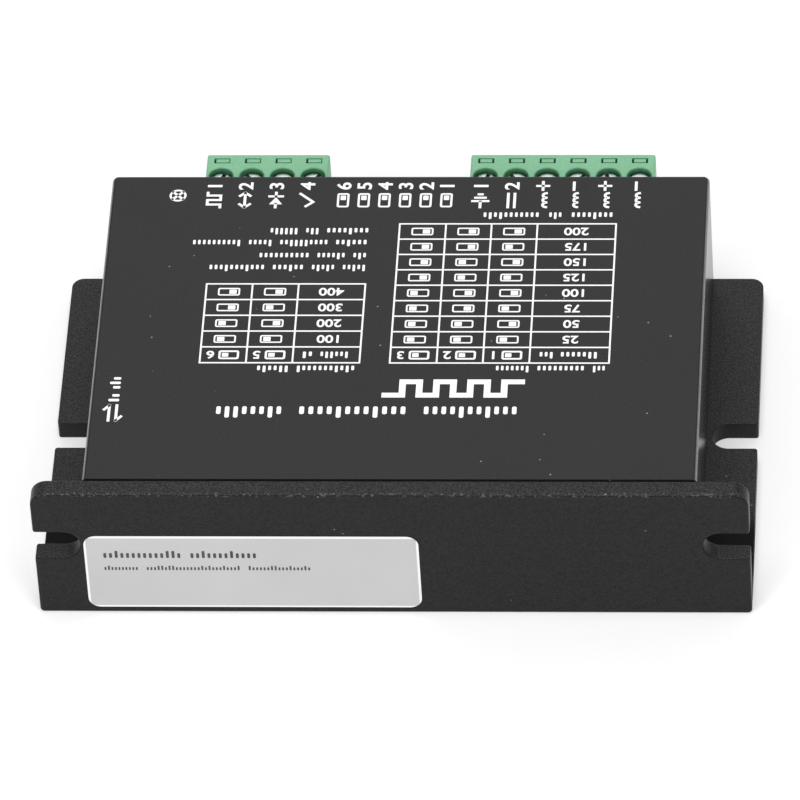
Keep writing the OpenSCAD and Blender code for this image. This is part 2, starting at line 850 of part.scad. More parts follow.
switch_pins();
switch_slider(1);  // switch_slider_1
switch_slider(2);  // switch_slider_2
switch_slider(3);  // switch_slider_3
switch_slider(4);  // switch_slider_4
switch_slider(5);  // switch_slider_5
switch_slider(6);  // switch_slider_6
status_led();
led_leads();
serial_jack();
serial_contacts();
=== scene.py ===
"""Looks of the stepper driver module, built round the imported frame. Lengths are written in
millimetres and turned into metres where a mesh is made."""

import json
import math
import random

import bmesh
import bpy
from mathutils import Euler, Matrix, Vector


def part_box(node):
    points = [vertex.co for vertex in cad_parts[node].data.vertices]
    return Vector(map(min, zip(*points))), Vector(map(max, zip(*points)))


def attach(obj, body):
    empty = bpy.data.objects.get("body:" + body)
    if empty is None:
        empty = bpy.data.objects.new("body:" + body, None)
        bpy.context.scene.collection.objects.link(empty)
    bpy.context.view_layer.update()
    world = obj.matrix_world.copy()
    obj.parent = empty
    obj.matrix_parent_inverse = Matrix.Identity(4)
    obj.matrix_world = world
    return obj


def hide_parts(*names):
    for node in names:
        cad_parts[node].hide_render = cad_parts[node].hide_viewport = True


MM = 0.001
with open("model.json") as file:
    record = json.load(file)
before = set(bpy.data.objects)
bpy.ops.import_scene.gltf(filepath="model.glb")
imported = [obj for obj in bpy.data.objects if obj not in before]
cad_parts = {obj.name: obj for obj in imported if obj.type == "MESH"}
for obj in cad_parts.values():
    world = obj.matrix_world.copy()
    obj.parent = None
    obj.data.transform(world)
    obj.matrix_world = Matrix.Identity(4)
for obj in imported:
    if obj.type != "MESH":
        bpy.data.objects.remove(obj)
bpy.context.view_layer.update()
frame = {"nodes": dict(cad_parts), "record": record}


# ---- Where things are, in millimetres, read from the frame ----


def box_mm(node):
    """Low and high corner of a CAD node."""
    low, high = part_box(node)
    return Vector(low) / MM, Vector(high) / MM


BASE_LOW, BASE_HIGH = box_mm("heatsink_base")
COVER_LOW, COVER_HIGH = box_mm("cover")
LABEL_LOW, LABEL_HIGH = box_mm("label")
DRIVER = "driver"
BASE_T = 2.5
POLE_PITCH = 3.81
POLES = {"signal": 4, "power": 6}


def centre(node):
    """Middle of a CAD node's box, as x, y and z."""
    return [(low + high) / 2 for low, high in zip(*box_mm(node))]


def pole_centres(kind):
    """Centres of a terminal's poles along X."""
    middle = centre(kind + "_header")[0]
    count = POLES[kind]
    return [middle + (i - (count - 1) / 2) * POLE_PITCH for i in range(count)]


SCREW_Y = centre("signal_screw_1")[1]
SCREW_HOLE_R = 1.5
BOARD_Z = [corner.z for corner in box_mm("circuit_board")]
PLUG_HIGH = box_mm("signal_plug_housing")[1]
WINDOW_Y = (PLUG_HIGH.y - 1.65, PLUG_HIGH.y - 0.75)


# ---- Mesh helpers ----


def arc(middle, radius, start, end, steps=10):
    """Points along an arc, angles in degrees, both ends included."""
    points = []
    for k in range(steps + 1):
        a = math.radians(start + (end - start) * k / steps)
        points.append((middle[0] + radius * math.cos(a), middle[1] + radius * math.sin(a)))
    return points


def circle(middle, radius, steps=40):
    """Points round a circle, the start not repeated."""
    return arc(middle, radius, 0, 360, steps)[:-1]


def rounded_rect(low, high, radius, steps=6):
    """Outline of a rectangle with round corners."""
    x = (low[0] + radius, high[0] - radius)
    y = (low[1] + radius, high[1] - radius)
    return (
        arc((x[1], y[0]), radius, -90, 0, steps)
        + arc((x[1], y[1]), radius, 0, 90, steps)
        + arc((x[0], y[1]), radius, 90, 180, steps)
        + arc((x[0], y[0]), radius, 180, 270, steps)
    )


def plane_matrix(u, v, origin=(0, 0, 0)):
    """Matrix that puts a flat drawing's x and y along u and v, in metres."""
    u = Vector(u)
    v = Vector(v)
    w = u.cross(v)
    rows = [(u[i] * MM, v[i] * MM, w[i] * MM, origin[i] * MM) for i in range(3)]
    return Matrix(rows + [(0, 0, 0, 1)])


def add_object(name, data):
    obj = bpy.data.objects.new(name, data)
    bpy.context.scene.collection.objects.link(obj)
    return obj


def from_bmesh(name, bm):
    """An object made of a finished bmesh, which is used up."""
    mesh = bpy.data.meshes.new(name)
    bm.to_mesh(mesh)
    bm.free()
    return add_object(name, mesh)


def evaluated_mesh(obj):
    """The mesh of an object with its modifiers or curve settings applied."""
    bpy.context.view_layer.update()
    graph = bpy.context.evaluated_depsgraph_get()
    return bpy.data.meshes.new_from_object(obj.evaluated_get(graph))


def from_curve(name, curve):
    """An object with the mesh of a curve, which is used up."""
    source = add_object(name, curve)
    mesh = evaluated_mesh(source)
    bpy.data.objects.remove(source)
    bpy.data.curves.remove(curve)
    return add_object(name, mesh)


def bake(obj):
    """Applies an object's modifiers."""
    mesh = evaluated_mesh(obj)
    obj.modifiers.clear()
    obj.data = mesh


def new_curve(name, dimensions, bevel_depth, lines):
    """A curve of straight pieces along lines of points."""
    curve = bpy.data.curves.new(name, "CURVE")
    curve.dimensions = dimensions
    curve.bevel_depth = bevel_depth
    curve.bevel_resolution = 3
    for line in lines:
        spline = curve.splines.new("POLY")
        spline.points.add(len(line) - 1)
        for point, at in zip(spline.points, line):
            point.co = (*Vector(at).to_3d(), 1)
        spline.use_cyclic_u = dimensions == "2D"
    return curve


def slab(name, outlines, depth, edge, matrix):
    """A plate from flat outlines, the first its rim and the rest holes, centred on its plane."""
    curve = new_curve(name, "2D", edge, outlines)
    curve.fill_mode = "BOTH"
    curve.extrude = depth / 2 - edge
    curve.offset = -edge
    obj = from_curve(name, curve)
    obj.data.transform(matrix)
    return clean(obj)


def clean(obj, distance=0.002 * MM):
    """Joins doubled points and turns every face outwards."""
    bm = bmesh.new()
    bm.from_mesh(obj.data)
    bmesh.ops.remove_doubles(bm, verts=bm.verts, dist=distance)
    bmesh.ops.dissolve_degenerate(bm, edges=bm.edges, dist=distance / 4)
    bmesh.ops.recalc_face_normals(bm, faces=bm.faces)
    bm.to_mesh(obj.data)
    bm.free()
    return obj


def box_bmesh(low, high):
    """A bmesh box, given by its low and high corners."""
    bm = bmesh.new()
    bmesh.ops.create_cube(bm, size=1)
    for vert in bm.verts:
        for i in range(3):
            vert.co[i] = (low[i] if vert.co[i] < 0 else high[i]) * MM
    return bm


def round_edges(bm, edges, radius, steps):
    """Rounds some of a bmesh's edges."""
    bmesh.ops.bevel(bm, geom=edges, offset=radius * MM, segments=steps, profile=0.5, affect="EDGES")


def block(name, low, high, edge=0.0, steps=2):
    """A box with rounded edges, given by its low and high corners."""
    bm = box_bmesh(low, high)
    if edge:
        round_edges(bm, bm.edges[:], edge, steps)
    return from_bmesh(name, bm)


def bar(name, x, half, y, z, edge=0.0, steps=2):
    """A box that reaches half to each side of x, with y and z each a low and high end."""
    return block(name, (x - half, y[0], z[0]), (x + half, y[1], z[1]), edge, steps)


def lathe(name, profile, at, axis="Z", steps=40):
    """A solid of revolution: profile is (radius, height) points from bottom to top on the axis."""
    bm = bmesh.new()
    rings = []
    for radius, height in profile:
        if radius <= 0:
            rings.append([bm.verts.new((0, 0, height * MM))])
            continue
        ring = []
        for x, y in circle((0, 0), radius, steps):
            ring.append(bm.verts.new((x * MM, y * MM, height * MM)))
        rings.append(ring)
    for low, high in zip(rings, rings[1:]):
        for k in range(steps):
            corners = (low, k), (low, k + 1), (high, k + 1), (high, k)
            unique = list(dict.fromkeys(ring[at % len(ring)] for ring, at in corners))
            if len(unique) > 2:
                bm.faces.new(unique)
    for ring in (rings[0], rings[-1]):
        if len(ring) > 1:
            bm.faces.new(ring)
    turns = {"Z": Euler((0, 0, 0)), "Y": Euler((-math.pi / 2, 0, 0)), "X": Euler((0, math.pi / 2, 0))}
    bm.transform(Matrix.Translation(Vector(at) * MM) @ turns[axis].to_matrix().to_4x4())
    bmesh.ops.recalc_face_normals(bm, faces=bm.faces)
    return from_bmesh(name, bm)


def merged(name, objects):
    """One object holding the meshes of several, as separate shells."""
    bm = bmesh.new()
    for obj in objects:
        bm.from_mesh(obj.data)
        bpy.data.objects.remove(obj)
    return from_bmesh(name, bm)


def boolean(obj, others, operation, solver):
    """Combines an object with others, which are used up."""
    for other in others:
        modifier = obj.modifiers.new("boolean", "BOOLEAN")
        modifier.operation = operation
        modifier.solver = solver
        modifier.object = other
    bake(obj)
    for other in others:
        bpy.data.objects.remove(other)
    clean(obj)


def join(obj, others, solver="EXACT"):
    boolean(obj, others, "UNION", solver)


def cut(obj, others, solver="EXACT"):
    boolean(obj, others, "DIFFERENCE", solver)


def join_flat(obj):
    """Merges the triangles of each flat face, so that its shading is flat to the edge."""
    bm = bmesh.new()
    bm.from_mesh(obj.data)
    bmesh.ops.dissolve_limit(bm, angle_limit=math.radians(0.3), verts=bm.verts, edges=bm.edges)
    bm.to_mesh(obj.data)
    bm.free()


def soften(obj, width, angle=38, steps=2):
    """Rounds an object's sharp edges."""
    modifier = obj.modifiers.new("soften", "BEVEL")
    modifier.width = width * MM
    modifier.segments = steps
    modifier.limit_method = "ANGLE"
    modifier.angle_limit = math.radians(angle)
    modifier.miter_outer = "MITER_ARC"
    bake(obj)
    return obj


def shade(obj, angle=40):
    """Smooth shading over rounded edges, with flat faces kept flat."""
    for polygon in obj.data.polygons:
        polygon.use_smooth = True
    obj.data.set_sharp_from_angle(angle=math.radians(angle))
    modifier = obj.modifiers.new("normals", "WEIGHTED_NORMAL")
    modifier.keep_sharp = True
    modifier.weight = 100
    return obj


def place(obj, slot, nodes=(), body=DRIVER, material=None):
    """Finishes a piece: gives it its material, which is its slot's if none is named, puts it on its body
    and hides the CAD nodes it stands for.
    """
    obj.data.materials.clear()
    obj.data.materials.append(MATERIALS[material or slot])
    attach(obj, body)
    if nodes:
        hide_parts(*nodes)
    return obj


# ---- Materials ----


class Surface:
    """A procedural material under construction, with coordinates in millimetres."""

    def __init__(self, name):
        self.material = bpy.data.materials.new(name)
        self.material.use_nodes = True
        self.tree = self.material.node_tree
        self.shader = self.tree.nodes["Principled BSDF"]
        place_node = self.tree.nodes.new("ShaderNodeTexCoord")
        scale = self.add("ShaderNodeVectorMath", operation="SCALE")
        scale.inputs["Scale"].default_value = 1 / MM
        self.link(place_node.outputs["Object"], scale.inputs[0])
        self.where = scale.outputs[0]

    def add(self, kind, **settings):
        node = self.tree.nodes.new(kind)
        for key, value in settings.items():
            setattr(node, key, value)
        return node

    def link(self, source, target):
        self.tree.links.new(source, target)

    def set(self, **values):
        """Sets plain numbers on the shader, by socket name with _ for space."""
        for key, value in values.items():
            self.shader.inputs[key.replace("_", " ")].default_value = value

    def noise(self, size, detail=3.0):
        """Cloudy noise whose features are about size millimetres across."""
        node = self.add("ShaderNodeTexNoise")
        node.inputs["Scale"].default_value = 1 / size
        node.inputs["Detail"].default_value = detail
        node.inputs["Roughness"].default_value = 0.55
        self.link(self.where, node.inputs["Vector"])
        return node.outputs["Fac"]

    def dust(self):
        """1 on a few tiny specks and 0 elsewhere."""
        speck = self.add("ShaderNodeTexVoronoi")
        speck.inputs["Scale"].default_value = 1 / 2.2
        self.link(self.where, speck.inputs["Vector"])
        near = self.opposite(self.step(speck.outputs["Distance"], 0.025, 0.06))
        return self.times(near, self.step(self.noise(5.5, 1), 0.5, 0.54))

    def math(self, operation, a, b=None, c=None):
        node = self.add("ShaderNodeMath", operation=operation)
        for socket, value in zip(node.inputs, (a, b, c)):
            if value is None:
                continue
            if isinstance(value, (int, float)):
                socket.default_value = value
            else:
                self.link(value, socket)
        return node.outputs[0]

    def times(self, a, b):
        return self.math("MULTIPLY", a, b)

    def opposite(self, value):
        return self.math("SUBTRACT", 1.0, value)

    def blend(self, a, share, b):
        """Share of a and the rest of b."""
        return self.math("MULTIPLY_ADD", a, share, self.times(b, 1 - share))

    def component(self, vector, letter):
        node = self.add("ShaderNodeSeparateXYZ")
        self.link(vector, node.inputs[0])
        return node.outputs[letter]

    def axis(self, letter):
        """One coordinate in millimetres."""
        return self.component(self.where, letter)

    def facing(self, letter):
        """How far the surface faces along an axis, from -1 to 1."""
        return self.component(self.add("ShaderNodeNewGeometry").outputs["Normal"], letter)

    def step(self, value, start, end):
        """0 up to start and 1 from end on, smooth between. A start above the end turns it round."""
        node = self.add("ShaderNodeMapRange", interpolation_type="SMOOTHSTEP")
        node.inputs["From Min"].default_value = start
        node.inputs["From Max"].default_value = end
        self.link(value, node.inputs["Value"])
        return node.outputs["Result"]

    def level(self, value, low, high):
        """A 0 to 1 value spread over low to high."""
        node = self.add("ShaderNodeMapRange")
        node.inputs["To Min"].default_value = low
        node.inputs["To Max"].default_value = high
        self.link(value, node.inputs["Value"])
        return node.outputs["Result"]

    def mix(self, amount, a, b):
        """Blend of two colours, each a tuple or a socket."""
        node = self.add("ShaderNodeMix", data_type="RGBA")
        self.link(amount, node.inputs[0])
        for socket, value in ((node.inputs[6], a), (node.inputs[7], b)):
            if isinstance(value, tuple):
                socket.default_value = (*value, 1.0)
            else:
                self.link(value, socket)
        return node.outputs[2]

    def color(self, value):
        self.link(value, self.shader.inputs["Base Color"])

    def rough(self, value):
        self.link(value, self.shader.inputs["Roughness"])

    def bumps(self, *layers):
        """Surface relief from (height socket, depth in millimetres) layers."""
        normal = None
        for height, depth in layers:
            node = self.add("ShaderNodeBump")
            node.inputs["Strength"].default_value = 1.0
            node.inputs["Distance"].default_value = depth * MM
            self.link(height, node.inputs["Height"])
            if normal is not None:
                self.link(normal, node.inputs["Normal"])
            normal = node.outputs["Normal"]
        self.link(normal, self.shader.inputs["Normal"])


def grained(name, dark, light, grain, roughness, relief, metallic=0.0, patch=6.0):
    """A plain moulded, cast or plated surface: fine grain, slow patches and uneven gloss."""
    surface = Surface(name)
    fine = surface.noise(grain, 4)
    slow = surface.noise(patch, 2)
    tone = surface.blend(fine, 0.6, slow)
    surface.color(surface.mix(surface.step(tone, 0.35, 0.65), dark, light))
    surface.rough(surface.level(slow, *roughness))
    surface.bumps((surface.noise(grain * 0.6, 3), relief))
    surface.set(Metallic=metallic)
    return surface


def anodised_material():
    """Matt black anodised aluminium: a fine grain, stronger and paler on upward faces as painted glints of
    light from above, painted shade in the corner behind the wall, and a front top edge rubbed pale in
    spots.
    """
    surface = Surface("black_anodising")
    fine = surface.noise(0.16, 2)
    mottle = surface.noise(0.5, 4)
    grain = surface.step(surface.blend(fine, 0.8, mottle), 0.43, 0.58)
    even = surface.mix(grain, (0.003, 0.003, 0.0031), (0.012, 0.012, 0.0122))
    # Painted glints: upward faces get a stronger, paler grain that stands in for light from above catching
    # it; side faces keep the even grain
    glint_specks = surface.step(surface.noise(0.19, 3), 0.4, 0.62)
    grain_and_glints = surface.mix(glint_specks, (0.001, 0.001, 0.001), (0.029, 0.029, 0.0296))
    black = surface.mix(surface.step(surface.facing("Z"), 0.5, 0.9), even, grain_and_glints)
    # Less light reaches the corner between the plate and the wall
    wall_back = BASE_LOW.y + BASE_T
    near = surface.step(surface.axis("Y"), -12, -17)
    low_down = surface.step(surface.axis("Z"), 8, 5)
    behind = surface.step(surface.axis("Y"), wall_back - 0.2, wall_back)
    corner = surface.times(surface.times(near, low_down), behind)
    black = surface.mix(surface.times(corner, 0.85), black, (0.0006, 0.0006, 0.0006))
    high = surface.step(surface.axis("Z"), BASE_HIGH.z - 0.5, BASE_HIGH.z - 0.15)
    forward = surface.opposite(surface.step(surface.axis("Y"), BASE_LOW.y + 0.2, BASE_LOW.y + 0.6))
    spots = surface.step(surface.noise(0.3, 4), 0.54, 0.66)
    wear_and_highlight = surface.times(surface.times(high, forward), spots)
    rubbed = surface.mix(surface.times(wear_and_highlight, 0.35), black, (0.22, 0.22, 0.22))
    surface.color(surface.mix(surface.times(surface.dust(), 0.4), rubbed, (0.5, 0.5, 0.5)))
    surface.rough(surface.math("MULTIPLY_ADD", corner, 0.5, surface.level(mottle, 0.34, 0.44)))
    surface.bumps((mottle, 0.02), (fine, 0.04))
    surface.set(Specular_IOR_Level=0.2)
    return surface.material


def paint_material():
    """Satin charcoal powder paint: the odd grain of dust, and a painted highlight along the long bends."""
    surface = Surface("charcoal_paint")
    peel = surface.noise(0.55, 3)
    slow = surface.noise(14, 2)
    base = surface.mix(slow, (0.01, 0.01, 0.0102), (0.014, 0.014, 0.0143))
    grain = surface.mix(surface.step(surface.noise(0.16, 3), 0.45, 0.75), base, (0.024, 0.024, 0.0246))
    dusty = surface.mix(surface.times(surface.dust(), 0.5), grain, (0.6, 0.6, 0.6))
    # Painted highlight: faces that turn between sideways and upwards, along the long top bends, are made
    # pale in patches, standing in for the light they reflect
    sideways = surface.step(surface.math("ABSOLUTE", surface.facing("X")), 0.35, 0.7)
    upwards = surface.step(surface.facing("Z"), 0.15, 0.4)
    bend = surface.times(sideways, upwards)
    wear_and_highlight = surface.times(bend, surface.level(surface.noise(1.5, 3), 0.4, 0.9))
    surface.color(surface.mix(wear_and_highlight, dusty, (0.26, 0.26, 0.265)))
    surface.rough(surface.level(peel, 0.17, 0.23))
    surface.bumps((peel, 0.004), (surface.noise(0.12, 2), 0.002))
    surface.set(Specular_IOR_Level=0.16)
    return surface.material


def print_material():
    """White silkscreen ink, slightly thin in places."""
    surface = Surface("white_print")
    cover = surface.step(surface.noise(0.25, 3), 0.2, 0.42)
    surface.color(surface.mix(cover, (0.55, 0.55, 0.55), (0.86, 0.86, 0.86)))
    surface.rough(surface.level(surface.noise(1.0, 2), 0.5, 0.65))
    return surface.material


def sticker_material():
    """Silver-grey polyester film with a paler rim and a slow sheen across it."""
    surface = Surface("silver_film")
    margins = []
    for letter, low, high in (("X", LABEL_LOW.x, LABEL_HIGH.x), ("Z", LABEL_LOW.z, LABEL_HIGH.z)):
        at = surface.axis(letter)
        margins.append(surface.math("SUBTRACT", at, low))
        margins.append(surface.math("SUBTRACT", high, at))
    nearest = surface.math("MINIMUM", margins[0], margins[1])
    for margin in margins[2:]:
        nearest = surface.math("MINIMUM", nearest, margin)
    rim = surface.opposite(surface.step(nearest, 0.22, 0.34))
    film = surface.mix(surface.noise(9, 2), (0.475, 0.475, 0.48), (0.535, 0.535, 0.54))
    surface.color(surface.mix(rim, film, (0.86, 0.86, 0.87)))
    surface.rough(surface.level(surface.noise(0.3, 3), 0.38, 0.5))
    surface.bumps((surface.noise(0.2, 2), 0.004))
    surface.set(Metallic=0.1)
    return surface.material


def terminal_material():
    """Light green moulded polyamide, faintly translucent, with painted shade darkening it down the holes
    and test windows.
    """
    surface = Surface("green_polyamide")
    fine = surface.noise(0.35, 4)
    slow = surface.noise(6, 2)
    tone = surface.step(surface.blend(fine, 0.6, slow), 0.35, 0.65)
    green = surface.mix(tone, (0.152, 0.382, 0.217), (0.184, 0.43, 0.254))
    # Painted shade down the screw holes and in the test windows: masks of where they are, and a green that
    # gets darker the deeper down it is
    first = [pole_centres(kind)[0] for kind in ("signal", "power")]
    x = surface.axis("X")
    nearest_first = surface.level(surface.step(x, -0.1, 0.1), *first)
    along = surface.math("PINGPONG", surface.math("SUBTRACT", x, nearest_first), POLE_PITCH / 2)
    across = surface.math("SUBTRACT", surface.axis("Y"), SCREW_Y)
    squared = surface.math("MULTIPLY_ADD", along, along, surface.times(across, across))
    hole = surface.step(squared, (SCREW_HOLE_R + 0.12) ** 2, SCREW_HOLE_R ** 2)
    height = surface.axis("Z")
    from_window = surface.math("ABSOLUTE", surface.math("SUBTRACT", surface.axis("Y"), sum(WINDOW_Y) / 2))
    window = surface.times(surface.step(from_window, 0.52, 0.47), surface.step(along, 1.1, 1.02))
    sunk = surface.step(height, PLUG_HIGH.z - 0.09, PLUG_HIGH.z - 0.2)
    inside = surface.math("MAXIMUM", hole, surface.times(window, sunk))
    deep = surface.step(height, PLUG_HIGH.z - 0.3, PLUG_HIGH.z - 1.1)
    shaded = surface.mix(deep, (0.056, 0.225, 0.098), (0.01, 0.06, 0.024))
    surface.color(surface.mix(inside, green, shaded))
    surface.rough(surface.level(slow, 0.36, 0.46))
    surface.bumps((surface.noise(0.21, 3), 0.006))
    surface.set(Subsurface_Weight=0.12, Subsurface_Scale=0.8 * MM)
    surface.shader.inputs["Subsurface Radius"].default_value = (0.5, 1.0, 0.6)
    return surface.material


def board_material():
    """Green solder mask over a faint pattern of copper tracks."""
    surface = Surface("solder_mask")
    track = surface.add("ShaderNodeTexBrick")
    for key, value in (("Scale", 1.0), ("Brick Width", 3.4), ("Row Height", 1.1), ("Mortar Size", 0.12)):
        track.inputs[key].default_value = value
    surface.link(surface.where, track.inputs["Vector"])
    lines = track.outputs["Fac"]
    mask = surface.mix(surface.noise(3, 3), (0.008, 0.10, 0.035), (0.012, 0.14, 0.05))
    surface.color(surface.mix(surface.times(lines, 0.6), mask, (0.03, 0.26, 0.09)))
    surface.rough(surface.level(surface.noise(0.8, 2), 0.22, 0.34))
    surface.bumps((lines, 0.02))
    return surface.material


def lens_material():
    """Tinted clear resin of an unlit light."""
    surface = grained("tinted_resin", (0.12, 0.5, 0.16), (0.16, 0.62, 0.22), 0.8, (0.1, 0.16), 0.003)
    surface.set(Transmission_Weight=0.35, IOR=1.5)
    return surface.material


# Plain materials by the record's slot name: name, dark and light colour, grain, gloss range, relief and,
# where it has one, a share of metal
PLAIN = {
    "label_ink": ("dark_ink", (0.03, 0.03, 0.03), (0.06, 0.06, 0.06), 0.2, (0.5, 0.6), 0.002),
    "black_plastic": ("black_moulding", (0.012, 0.012, 0.013), (0.022, 0.022, 0.024), 0.18,
                      (0.42, 0.55), 0.012),
    "slider_white": ("white_moulding", (0.7, 0.7, 0.67), (0.8, 0.8, 0.77), 0.3, (0.35, 0.45), 0.004),
    "black_steel": ("black_oxide", (0.02, 0.02, 0.022), (0.045, 0.045, 0.048), 0.15,
                    (0.35, 0.5), 0.006, 0.6),
    "film": ("amber_film", (0.42, 0.26, 0.05), (0.52, 0.34, 0.08), 2.5, (0.2, 0.3), 0.01),
    "gap_pad": ("gap_filler", (0.3, 0.36, 0.44), (0.38, 0.44, 0.52), 0.5, (0.7, 0.85), 0.03),
    "capacitor_sleeve": ("shrink_sleeve", (0.012, 0.016, 0.05), (0.02, 0.026, 0.08), 1.2,
                         (0.18, 0.28), 0.004),
    "chip_resin": ("moulded_epoxy", (0.014, 0.014, 0.015), (0.03, 0.03, 0.031), 0.1, (0.5, 0.65), 0.008),
    "ceramic": ("fired_ceramic", (0.32, 0.22, 0.12), (0.45, 0.33, 0.2), 0.3, (0.45, 0.6), 0.006),
    "ferrite": ("sintered_ferrite", (0.03, 0.03, 0.032), (0.06, 0.06, 0.062), 0.25, (0.6, 0.75), 0.02),
}
# Bright metals with a fine turned grain: name, dark and light colour and gloss range
METALS = {
    "zinc_steel": ("zinc_plate", (0.58, 0.63, 0.64), (0.78, 0.82, 0.83), (0.3, 0.42)),
    "tinned_contact": ("tin_plate", (0.6, 0.58, 0.54), (0.8, 0.78, 0.74), (0.25, 0.38)),
    "gold_contact": ("gold_plate", (0.75, 0.55, 0.2), (0.9, 0.7, 0.32), (0.18, 0.28)),
    "brass_spacer": ("turned_brass", (0.6, 0.45, 0.18), (0.78, 0.62, 0.3), (0.25, 0.4)),
    "crystal_can": ("drawn_can", (0.55, 0.55, 0.53), (0.72, 0.72, 0.7), (0.2, 0.32)),
}


def make_materials():
    """Every material, by the record's slot name."""
    made = {
        "anodised_base": anodised_material(),
        "cover_paint": paint_material(),
        "print": print_material(),
        "label_film": sticker_material(),
        "terminal_green": terminal_material(),
        "board_green": board_material(),
        "lens_green": lens_material(),
    }
    for slot, settings in PLAIN.items():
        made[slot] = grained(*settings).material
    for slot, (name, dark, light, gloss) in METALS.items():
        made[slot] = grained(name, dark, light, 0.12, gloss, 0.006, metallic=1.0, patch=2.0).material
    return made


MATERIALS = make_materials()


# ---- Base ----

MOUNTS = {mount["name"]: mount for mount in frame["record"]["mounts"]}
SLOT_MOUTH_R = 0.35
WALL_EDGE = 0.26


def slotted_outline(low, high, mount, up_axis, foot_r, corner_r):
    """Outline of a plate with a slot in each end: foot_r rounds its low corners, corner_r its high ones."""
    half = BASE_HIGH.x
    slot_r = mount["dims"]["hole_r_mm"]
    slot_x = mount["dims"]["spacing_x_mm"] / 2
    slot_at = mount["pos_m"][up_axis] / MM
    mouth = half - SLOT_MOUTH_R
    right = arc((half - foot_r, low + foot_r), foot_r, 270, 360, 6) if foot_r else [(half, low)]
    right += arc((mouth, slot_at - slot_r - SLOT_MOUTH_R), SLOT_MOUTH_R, 0, 90, 6)
    right += arc((slot_x, slot_at), slot_r, 270, 90, 24)
    right += arc((mouth, slot_at + slot_r + SLOT_MOUTH_R), SLOT_MOUTH_R, 270, 360, 6)
    right += arc((half - corner_r, high - corner_r), corner_r, 0, 90, 8)
    return right + [(-x, y) for x, y in reversed(right)]


BOARD_SCREWS = [(x, y) for x in (-32, 32) for y in (-21.4, 14)]
COVER_SCREWS = [(x, y) for x in (-32.6, 32.6) for y in (-6, 22.5)]
COVER_T = 0.7
SINK_R = 2.5
SINK_DEPTH = 1.15
SINK_HOLE_R = 1.35


def make_base():
    """The L-shaped extrusion: a slotted plate and a slotted wall, joined."""
    # The plate starts inside the wall's rounded rear edge, so that their end faces don't overlap
    plate_front = BASE_LOW.y + BASE_T - WALL_EDGE + 0.02
    plate_rim = slotted_outline(plate_front, BASE_HIGH.y, MOUNTS["plate_slots"], 1, 0, 1.5)
    holes = [circle(at, 1.5) for at in BOARD_SCREWS]
    flat = plane_matrix((1, 0, 0), (0, 1, 0), (0, 0, BASE_T / 2))
    plate = slab("heatsink_body", [plate_rim] + holes, BASE_T, 0.12, flat)
    wall_rim = slotted_outline(0, BASE_HIGH.z, MOUNTS["wall_slots"], 2, 0.55, 2.0)
    upright = plane_matrix((1, 0, 0), (0, 0, 1), (0, BASE_LOW.y + BASE_T / 2, 0))
    wall = slab("wall", [wall_rim], BASE_T, WALL_EDGE, upright)
    join(plate, [wall], "MANIFOLD")
    sink = [(SINK_R + 0.3, -0.3), (SINK_HOLE_R, SINK_DEPTH), (SINK_HOLE_R, BASE_T + 1)]
    sinks = [lathe("sink", sink, (x, y, 0)) for x, y in COVER_SCREWS]
    cut(plate, sinks, "MANIFOLD")
    join_flat(plate)
    place(shade(plate), "anodised_base", ["heatsink_base"])


# ---- Cover ----

JACK_LOW, JACK_HIGH = box_mm("serial_jack")
HEADERS = {kind: box_mm(kind + "_header") for kind in POLES}
LED_LOW, LED_HIGH = box_mm("status_led")
LED_CENTRE = ((LED_LOW.x + LED_HIGH.x) / 2, (LED_LOW.z + LED_HIGH.z) / 2)
EDGE_GAP = 0.12
BEND_R = 0.5
CORNER_R = 0.8
TAB_LONG = 7
TAB_WIDE = 6.8


def folded_box(low, high):
    """A box with its rear uprights and top edges rounded, open below and in front."""
    bm = box_bmesh(low, high)
    front = low[1] * MM + 1e-6
    rear = high[1] * MM - 1e-6
    top = high[2] * MM - 1e-6
    uprights = []
    for edge in bm.edges:
        a, b = (vert.co for vert in edge.verts)
        if a.y > rear and b.y > rear and abs(a.z - b.z) > 1e-6:
            uprights.append(edge)
    round_edges(bm, uprights, CORNER_R, 8)
    crest = []
    for edge in bm.edges:
        a, b = (vert.co for vert in edge.verts)
        if a.z > top and b.z > top and not (a.y < front and b.y < front):
            crest.append(edge)
    round_edges(bm, crest, BEND_R, 6)
    open_faces = []
    for face in bm.faces:
        middle = face.calc_center_median()
        if abs(face.normal.z + 1) < 1e-4 and middle.z < low[2] * MM + 1e-6:
            open_faces.append(face)
        if abs(face.normal.y + 1) < 1e-4 and middle.y < front:
            open_faces.append(face)
    bmesh.ops.delete(bm, geom=open_faces, context="FACES")
    return from_bmesh("cover_shell", bm)


